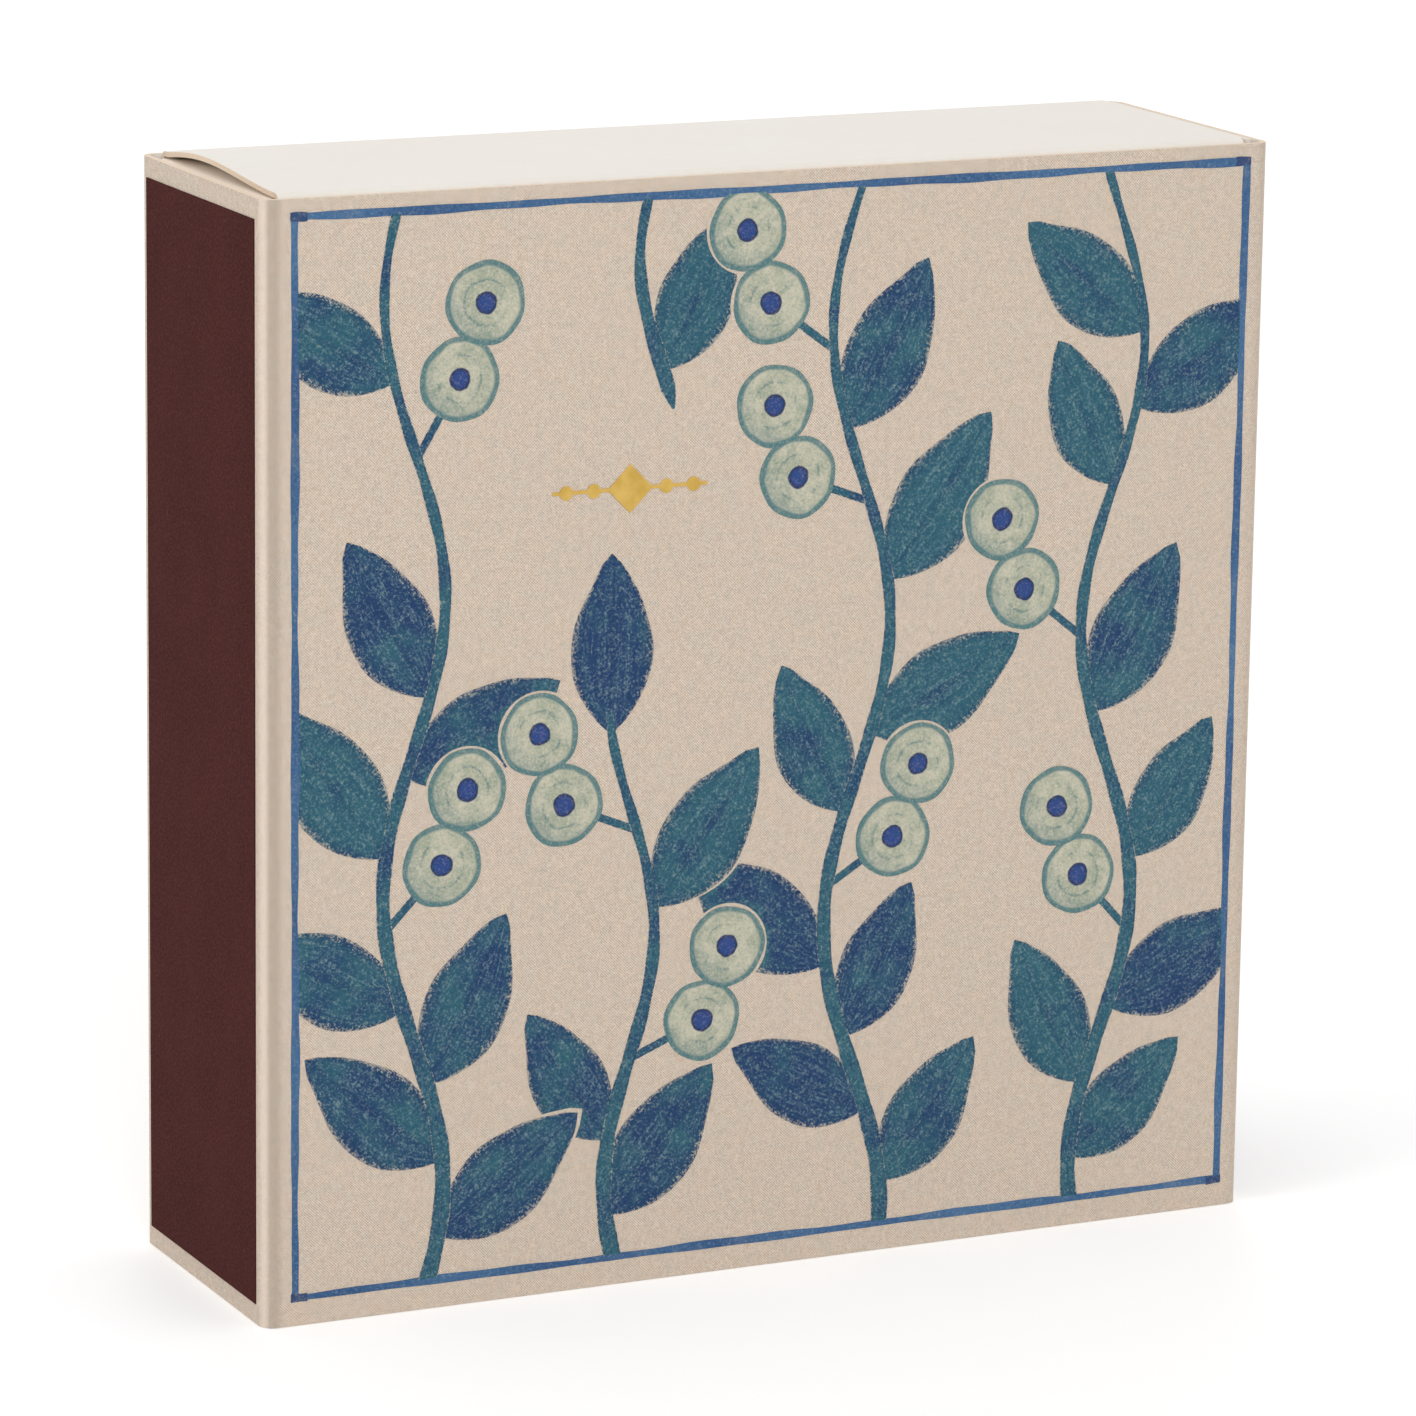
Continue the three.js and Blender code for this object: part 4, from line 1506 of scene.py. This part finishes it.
def swept(name, outline, stations, place, material):
    """A closed solid: an outline carried through stations; place gives each point's position."""
    count = len(outline)
    points = [place(point, station) for station in stations for point in outline]
    faces = []
    for ring in range(len(stations) - 1):
        for i in range(count):
            after = (i + 1) % count
            base = ring * count
            faces.append((base + i, base + after, base + count + after, base + count + i))
    faces.append(tuple(range(count - 1, -1, -1)))
    faces.append(tuple((len(stations) - 1) * count + i for i in range(count)))
    mesh = bpy.data.meshes.new(name)
    mesh.from_pydata(points, [], faces)
    shape = bmesh.new()
    shape.from_mesh(mesh)
    caps = [face for face in shape.faces if len(face.verts) > 4]
    bmesh.ops.triangulate(shape, faces=caps, ngon_method="EAR_CLIP")
    bmesh.ops.recalc_face_normals(shape, faces=shape.faces)
    shape.to_mesh(mesh)
    shape.free()
    mesh.materials.append(material)
    return new_object(name, mesh)


def bare_edges(piece, axis):
    """Gives the two cut ends of a swept card, which face along an axis, the tint of its core."""
    piece.data.materials.append(CUT_BOARD)
    for polygon in piece.data.polygons:
        if abs(polygon.normal[axis]) > CUT_FACING:
            polygon.material_index = 1
    return piece


print("bent card ready")

# %% [markdown]
# At each end of the tray a wall rises from the floor, crosses over the corner tabs and rolls back
# inside at the front rim. The free left edge of the upper one bows up, as folded board does when its
# glue lets go. A cloth simulation could find such a curve, but a simple rule is steadier: the sweep
# lifts each point by how near it lies to that edge and by a skewed arch across the depth.

# %% End walls
TRAY_CARD = 0.5
CLEARANCE = 0.35
PROUD = 0.4
TRAY_FOLD = 0.8
TAB_GAP = 0.2
SIDE_GAP = 0.5
BOW_RISE = 0.9
BOW_REACH = 22
BOW_PEAK = 0.62
BOW_STATIONS = 28
FOLD_STEPS = 8
ROLL_STEPS = 16
WALL_STEPS = 40
RETURN_STEPS = 6
SLEEVE_CARD = CARD / MM
tray_width = WIDTH / MM - 3 * SLEEVE_CARD - 2 * CLEARANCE
tray_depth = DEPTH / MM - 2 * SLEEVE_CARD - 2 * CLEARANCE
tray_length = HEIGHT / MM + PROUD
tray_middle = -SLEEVE_CARD / 2
layer_drop = TRAY_CARD + TAB_GAP
wall_start = layer_drop + TRAY_FOLD


def end_wall_line():
    """The end wall seen from the side: (depth, height) from the floor, across, and rolled back."""
    lift = TRAY_CARD / 2
    roll = TRAY_CARD + TAB_GAP
    back = tray_depth / 2 - lift
    rim = -tray_depth / 2 + roll + lift
    turn = TRAY_FOLD - lift
    line = [Vector((back, -wall_start))]
    line += arc((back - turn, -lift - turn), turn, 0, 1, FOLD_STEPS)
    line += straight(line[-1], Vector((rim, -lift)), WALL_STEPS)
    line += arc((rim, -lift - roll), roll, 1, 3, ROLL_STEPS)[1:]
    line += straight(line[-1], Vector((back - lift - TAB_GAP, -lift - 2 * roll)), RETURN_STEPS)
    return line


def bow(x, depth, height):
    """How far a point of the upper end wall lifts near its free left edge."""
    left = -tray_width / 2 + TRAY_CARD + SIDE_GAP
    half = tray_depth / 2 - 2 * TRAY_FOLD
    along = (depth + half) / (2 * half)
    if height < -TRAY_CARD - TAB_GAP / 2 or not 0 < along < 1:
        return 0.0
    towards_edge = max(0.0, (left + BOW_REACH - x) / BOW_REACH)
    skew = along ** (math.log(0.5) / math.log(BOW_PEAK))
    return BOW_RISE * towards_edge**2 * math.sin(math.pi * skew)


def end_wall(upper):
    left = -tray_width / 2 + TRAY_CARD + SIDE_GAP
    right = -left
    stations = [left + BOW_REACH * i / BOW_STATIONS for i in range(BOW_STATIONS + 1)] + [right]

    def place(point, x):
        height = point.y + (bow(x, point.x, point.y) if upper else 0.0)
        z = tray_length + height if upper else -height
        return ((x + tray_middle) * MM, point.x * MM, z * MM)

    wall = swept("end_wall", band_outline(end_wall_line(), TRAY_CARD), stations, place, TRAY_BOARD)
    return bare_edges(wall, axis=0)


print("upper wall bows up by", BOW_RISE, "mm")

# %% [markdown]
# Under each end wall lie two tabs, folded in from the side walls, and between the two ends runs the
# trough of floor and side walls. They are swept like the end walls: the tabs across the depth, and
# the trough along the height. Joined, they are one folded tray.

# %% Tabs and trough
TAB_LENGTH = 16
TAB_STEPS = 4


def corner_tab(side, upper):
    lift = TRAY_CARD / 2
    turn = TRAY_FOLD - lift
    wall = tray_width / 2 - lift
    level = -layer_drop - lift
    line = [Vector((wall, -wall_start - TRAY_FOLD))]
    line += arc((wall - turn, level - turn), turn, 0, 1, FOLD_STEPS)
    line += straight(line[-1], Vector((wall - TAB_LENGTH, level)), TAB_STEPS)
    front = -tray_depth / 2 + 2 * TRAY_CARD + TAB_GAP
    back = tray_depth / 2 - TRAY_FOLD - TAB_GAP

    def place(point, depth):
        z = tray_length + point.y if upper else -point.y
        return ((side * point.x + tray_middle) * MM, depth * MM, z * MM)

    # The tabs take the copy of the board that has painted warm bounce light.
    tab = swept("tab", band_outline(line, TRAY_CARD), [front, back], place, TAB_BOUNCE_BOARD)
    return bare_edges(tab, axis=1)


def trough():
    outer = tray_width / 2
    rim = -tray_depth / 2
    floor = tray_depth / 2
    lift = TRAY_CARD / 2
    turn = TRAY_FOLD - lift
    corner = floor - TRAY_FOLD
    line = [Vector((outer - lift, rim))]
    line += arc((outer - TRAY_FOLD, corner), turn, 0, 1, FOLD_STEPS)
    line += arc((-outer + TRAY_FOLD, corner), turn, 1, 2, FOLD_STEPS)
    line.append(Vector((-outer + lift, rim)))

    def place(point, z):
        return ((point.x + tray_middle) * MM, point.y * MM, z * MM)

    stations = [wall_start, tray_length - wall_start]
    return swept("trough", band_outline(line, TRAY_CARD), stations, place, TRAY_BOARD)


def folded_tray():
    pieces = [trough()]
    for upper in (True, False):
        pieces.append(end_wall(upper))
        pieces += [corner_tab(side, upper) for side in (1, -1)]
    tray = join(pieces, "folded_tray")
    tray.data.shade_smooth()
    tray.data.set_sharp_from_angle(angle=SHARP_ANGLE)
    return tray


tray_piece = folded_tray()
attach(tray_piece, "tray")
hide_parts("tray")
print("tray faces", len(tray_piece.data.polygons))

# %% [markdown]
# A match is a square stick with eased edges and a rounded, slightly drawn-out head. It has only a few
# dozen faces, because the tray holds so many. The wood's grain is a noise stretched along Z, the
# head's crust a plain fine one, and a face belongs to the head if it lies in the upper half.

# %% One match
STICK = 2.2 * MM
STICK_EASING = 0.12 * MM
MATCH_LENGTH = 98 * MM
HEAD_RADIUS = 1.35 * MM
HEAD_LENGTH = 5 * MM
HEAD_DROP = 1.5 * MM
HEAD_SEGMENTS = 10
HEAD_RINGS = 7
WOOD = srgb(232, 206, 166)
WOOD_GRAIN = srgb(210, 176, 130)
WOOD_PALE = srgb(240, 220, 188)
CRUST = srgb(96, 38, 34)
CRUST_LIGHT = srgb(122, 50, 44)


def stick_wood():
    recipe = Recipe("stick_wood")
    x, y, z = recipe.axes()
    fine = recipe.noise(recipe.vector(x * 2600, y * 2600, z * 60), 1.0, 3.0, 0.6)
    cloud = recipe.noise(recipe.vector(x * 330, y * 330, z * 8), 1.0, 1.0)
    base = recipe.mix(recipe.step(fine, 0.35, 0.7), WOOD, WOOD_GRAIN)
    return recipe.finish(
        {
            "Base Color": recipe.mix(recipe.step(cloud, 0.35, 0.7) * 0.4, base, WOOD_PALE),
            "Roughness": 0.68,
            "Normal": recipe.bump(fine, 0.03 * MM, 0.5),
        }
    )


def head_crust():
    recipe = Recipe("head_crust")
    where = recipe.place()
    grain = recipe.noise(where, 3500, 2.0)
    cloud = recipe.noise(where, 500, 2.0)
    return recipe.finish(
        {
            "Base Color": recipe.mix(recipe.step(cloud, 0.3, 0.7), CRUST, CRUST_LIGHT),
            "Roughness": 0.6,
            "Normal": recipe.bump(grain, 0.05 * MM, 0.7),
        }
    )


def single_match():
    """One match standing on its foot, its head upwards."""
    shape = bmesh.new()
    bmesh.ops.create_cube(shape, size=1.0)
    length = MATCH_LENGTH - HEAD_DROP
    bmesh.ops.scale(shape, vec=(STICK, STICK, length), verts=shape.verts)
    bmesh.ops.translate(shape, vec=(0, 0, length / 2), verts=shape.verts)
    upright = [edge for edge in shape.edges if abs(edge.verts[0].co.z - edge.verts[1].co.z) > length / 2]
    bmesh.ops.bevel(shape, geom=upright, offset=STICK_EASING, segments=1, affect="EDGES")
    drawn_out = Matrix.Diagonal((1, 1, HEAD_LENGTH / 2 / HEAD_RADIUS, 1))
    bmesh.ops.create_uvsphere(
        shape,
        u_segments=HEAD_SEGMENTS,
        v_segments=HEAD_RINGS,
        radius=HEAD_RADIUS,
        matrix=Matrix.Translation((0, 0, length)) @ drawn_out,
    )
    for face in shape.faces:
        in_head = min(vertex.co.z for vertex in face.verts) > length / 2
        face.material_index = 1 if in_head else 0
        face.smooth = in_head
    mesh = bpy.data.meshes.new("single_match")
    shape.to_mesh(mesh)
    shape.free()
    mesh.materials.append(stick_wood())
    mesh.materials.append(head_crust())
    return new_object("single_match", mesh)


pattern = single_match()
print("one match", round(MATCH_LENGTH / MM), "mm long,", len(pattern.data.polygons), "faces")

# %% [markdown]
# The tray holds five rows of matches. They repeat, so Geometry Nodes place them: a grid of points
# across the tray, one row over another, and on each point the same match, moved up a little by a
# seeded random value. Their number comes from the tray's width.

# %% Rows of matches
MATCH_PITCH = 2.96 * MM
MATCH_ROWS = 5
MATCH_SEAT = 0.3
MATCH_UNEVENNESS = 0.4 * MM
MATCH_SEED = 7
match_columns = int((tray_width - 2 * TRAY_CARD - 2 * MATCH_SEAT) * MM / MATCH_PITCH)
match_foot = (2 * layer_drop + TRAY_CARD + MATCH_SEAT) * MM
match_top_y = (tray_depth / 2 - TRAY_CARD - MATCH_SEAT) * MM - HEAD_RADIUS


def rows_tree(pattern):
    """Rows of a pattern object, which brings its own finishes."""
    tree = NodeTree("rows_of_matches")
    for name in ("Pitch", "Foot", "First Row", "Middle", "Unevenness"):
        tree.size(name)
    for name in ("Columns", "Rows", "Seed"):
        tree.size(name, "NodeSocketInt")
    pitch = tree.value("Pitch")

    def maths(operation, first, second):
        return tree.node("ShaderNodeMath", {"operation": operation}, {0: first, 1: second}).outputs[0]

    count = maths("MULTIPLY", tree.value("Columns"), tree.value("Rows"))
    index = tree.node("GeometryNodeInputIndex").outputs[0]
    row = maths("FLOOR", maths("DIVIDE", index, tree.value("Columns")), 0.0)
    column = maths("SUBTRACT", index, maths("MULTIPLY", row, tree.value("Columns")))
    half = maths("MULTIPLY", maths("SUBTRACT", tree.value("Columns"), 1.0), 0.5)
    x = maths("ADD", maths("MULTIPLY", maths("SUBTRACT", column, half), pitch), tree.value("Middle"))
    y = maths("SUBTRACT", tree.value("First Row"), maths("MULTIPLY", row, pitch))
    chance = tree.node(
        "FunctionNodeRandomValue",
        {"data_type": "FLOAT"},
        {2: 0.0, 3: tree.value("Unevenness"), 8: tree.value("Seed")},
    )
    z = maths("ADD", tree.value("Foot"), chance.outputs[1])
    place = tree.node("ShaderNodeCombineXYZ", None, {"X": x, "Y": y, "Z": z})
    points = tree.node("GeometryNodePoints", None, {"Count": count, "Position": place.outputs[0]})
    source = tree.node("GeometryNodeObjectInfo", None, {"Object": pattern})
    copies = tree.node(
        "GeometryNodeInstanceOnPoints",
        None,
        {"Points": points.outputs[0], "Instance": source.outputs["Geometry"]},
    )
    tree.finish(copies.outputs[0], materials=pattern.data.materials)
    return tree


matches = rows_tree(pattern).run(
    "matches",
    {
        "Pitch": MATCH_PITCH,
        "Foot": match_foot,
        "First Row": match_top_y,
        "Middle": tray_middle * MM,
        "Unevenness": MATCH_UNEVENNESS,
        "Columns": match_columns,
        "Rows": MATCH_ROWS,
        "Seed": MATCH_SEED,
    },
)
bpy.data.objects.remove(pattern)
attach(matches, "tray")
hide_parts("match_bed", *[f"match_{i:02d}" for i in range(1, match_columns + 1)])
print("matches", match_columns * MATCH_ROWS, "faces", len(matches.data.polygons))

# %% [markdown]
# The floor is a plain white sheet that keeps the box's soft shadow. A plain white floor in this light
# would look pale grey, so the camera sees it with a faint glow of its own, which lights nothing.

# %% Floor
FLOOR_REACH = 4.0
FLOOR_DROP = 0.05 * MM
FLOOR_GLOW = 0.19
FLOOR_LIGHT = (0.98, 0.98, 0.98, 1.0)
FLOOR_SHADE = (0.95, 0.95, 0.95, 1.0)
WHITE = (1.0, 1.0, 1.0, 1.0)


def studio_white():
    recipe = Recipe("studio_white")
    cloud = recipe.noise(recipe.place(), 3.0, 1.0)
    white = recipe.mix(cloud * 0.1, FLOOR_LIGHT, FLOOR_SHADE)
    paper = recipe.node("ShaderNodeBsdfDiffuse", None, {"Color": white})
    glow = recipe.node("ShaderNodeEmission", None, {"Color": WHITE, "Strength": FLOOR_GLOW})
    camera_ray = recipe.node("ShaderNodeLightPath")
    seen = recipe.node("ShaderNodeAddShader", None, {0: paper, 1: glow})
    recipe.surface(recipe.node("ShaderNodeMixShader", None, {0: camera_ray, 1: paper, 2: seen}))
    return recipe.material


def studio_floor():
    shape = bmesh.new()
    bmesh.ops.create_grid(shape, x_segments=2, y_segments=2, size=FLOOR_REACH)
    bmesh.ops.translate(shape, vec=(0, 0, -FLOOR_DROP), verts=shape.verts)
    mesh = bpy.data.meshes.new("studio_floor")
    shape.to_mesh(mesh)
    shape.free()
    mesh.materials.append(studio_white())
    new_object("studio_floor", mesh)


studio_floor()
print("floor", 2 * FLOOR_REACH, "m across")

# %% [markdown]
# Three wide soft lamps shape the box: one in front and above, a weaker one for the left side, and one
# behind, which lifts the top and the back. The world fills the rest with an even level. The camera
# and the foil see the world as white instead. Together they light a surface that faces the camera at
# about its written colour.

# %% Light
WORLD_LEVEL = 0.64
LAMPS = {
    "front_lamp": {"place": (-0.5, -2.0, 1.4), "size": 1.4, "power": 19.0},
    "left_lamp": {"place": (-1.6, -0.3, 0.7), "size": 0.9, "power": 6.0},
    "back_lamp": {"place": (0.7, 2.1, 1.2), "size": 1.4, "power": 12.0},
}


def soft_world(strength):
    world = bpy.data.worlds.new("studio_world")
    world.use_nodes = True
    tree = world.node_tree
    tree.nodes.clear()
    path = tree.nodes.new("ShaderNodeLightPath")
    seen = tree.nodes.new("ShaderNodeMath")
    seen.operation = "MAXIMUM"
    tree.links.new(path.outputs["Is Camera Ray"], seen.inputs[0])
    tree.links.new(path.outputs["Is Glossy Ray"], seen.inputs[1])
    level = tree.nodes.new("ShaderNodeMapRange")
    tree.links.new(seen.outputs[0], level.inputs["Value"])
    level.inputs["To Min"].default_value = strength
    level.inputs["To Max"].default_value = 1.0
    background = tree.nodes.new("ShaderNodeBackground")
    background.inputs["Color"].default_value = WHITE
    tree.links.new(level.outputs[0], background.inputs["Strength"])
    out = tree.nodes.new("ShaderNodeOutputWorld")
    tree.links.new(background.outputs[0], out.inputs["Surface"])
    bpy.context.scene.world = world


def soft_lamp(name, place, size, power):
    data = bpy.data.lights.new(name, "AREA")
    data.shape = "DISK"
    data.size = size
    data.energy = power
    lamp = bpy.data.objects.new(name, data)
    target = Vector((0, 0, HEIGHT / 2))
    lamp.location = place
    lamp.rotation_euler = (target - Vector(place)).to_track_quat("-Z", "Y").to_euler()
    bpy.context.scene.collection.objects.link(lamp)


soft_world(WORLD_LEVEL)
for name, facts in LAMPS.items():
    soft_lamp(name, **facts)
bpy.context.scene.view_settings.view_transform = "Standard"
print("lamps", ", ".join(LAMPS))
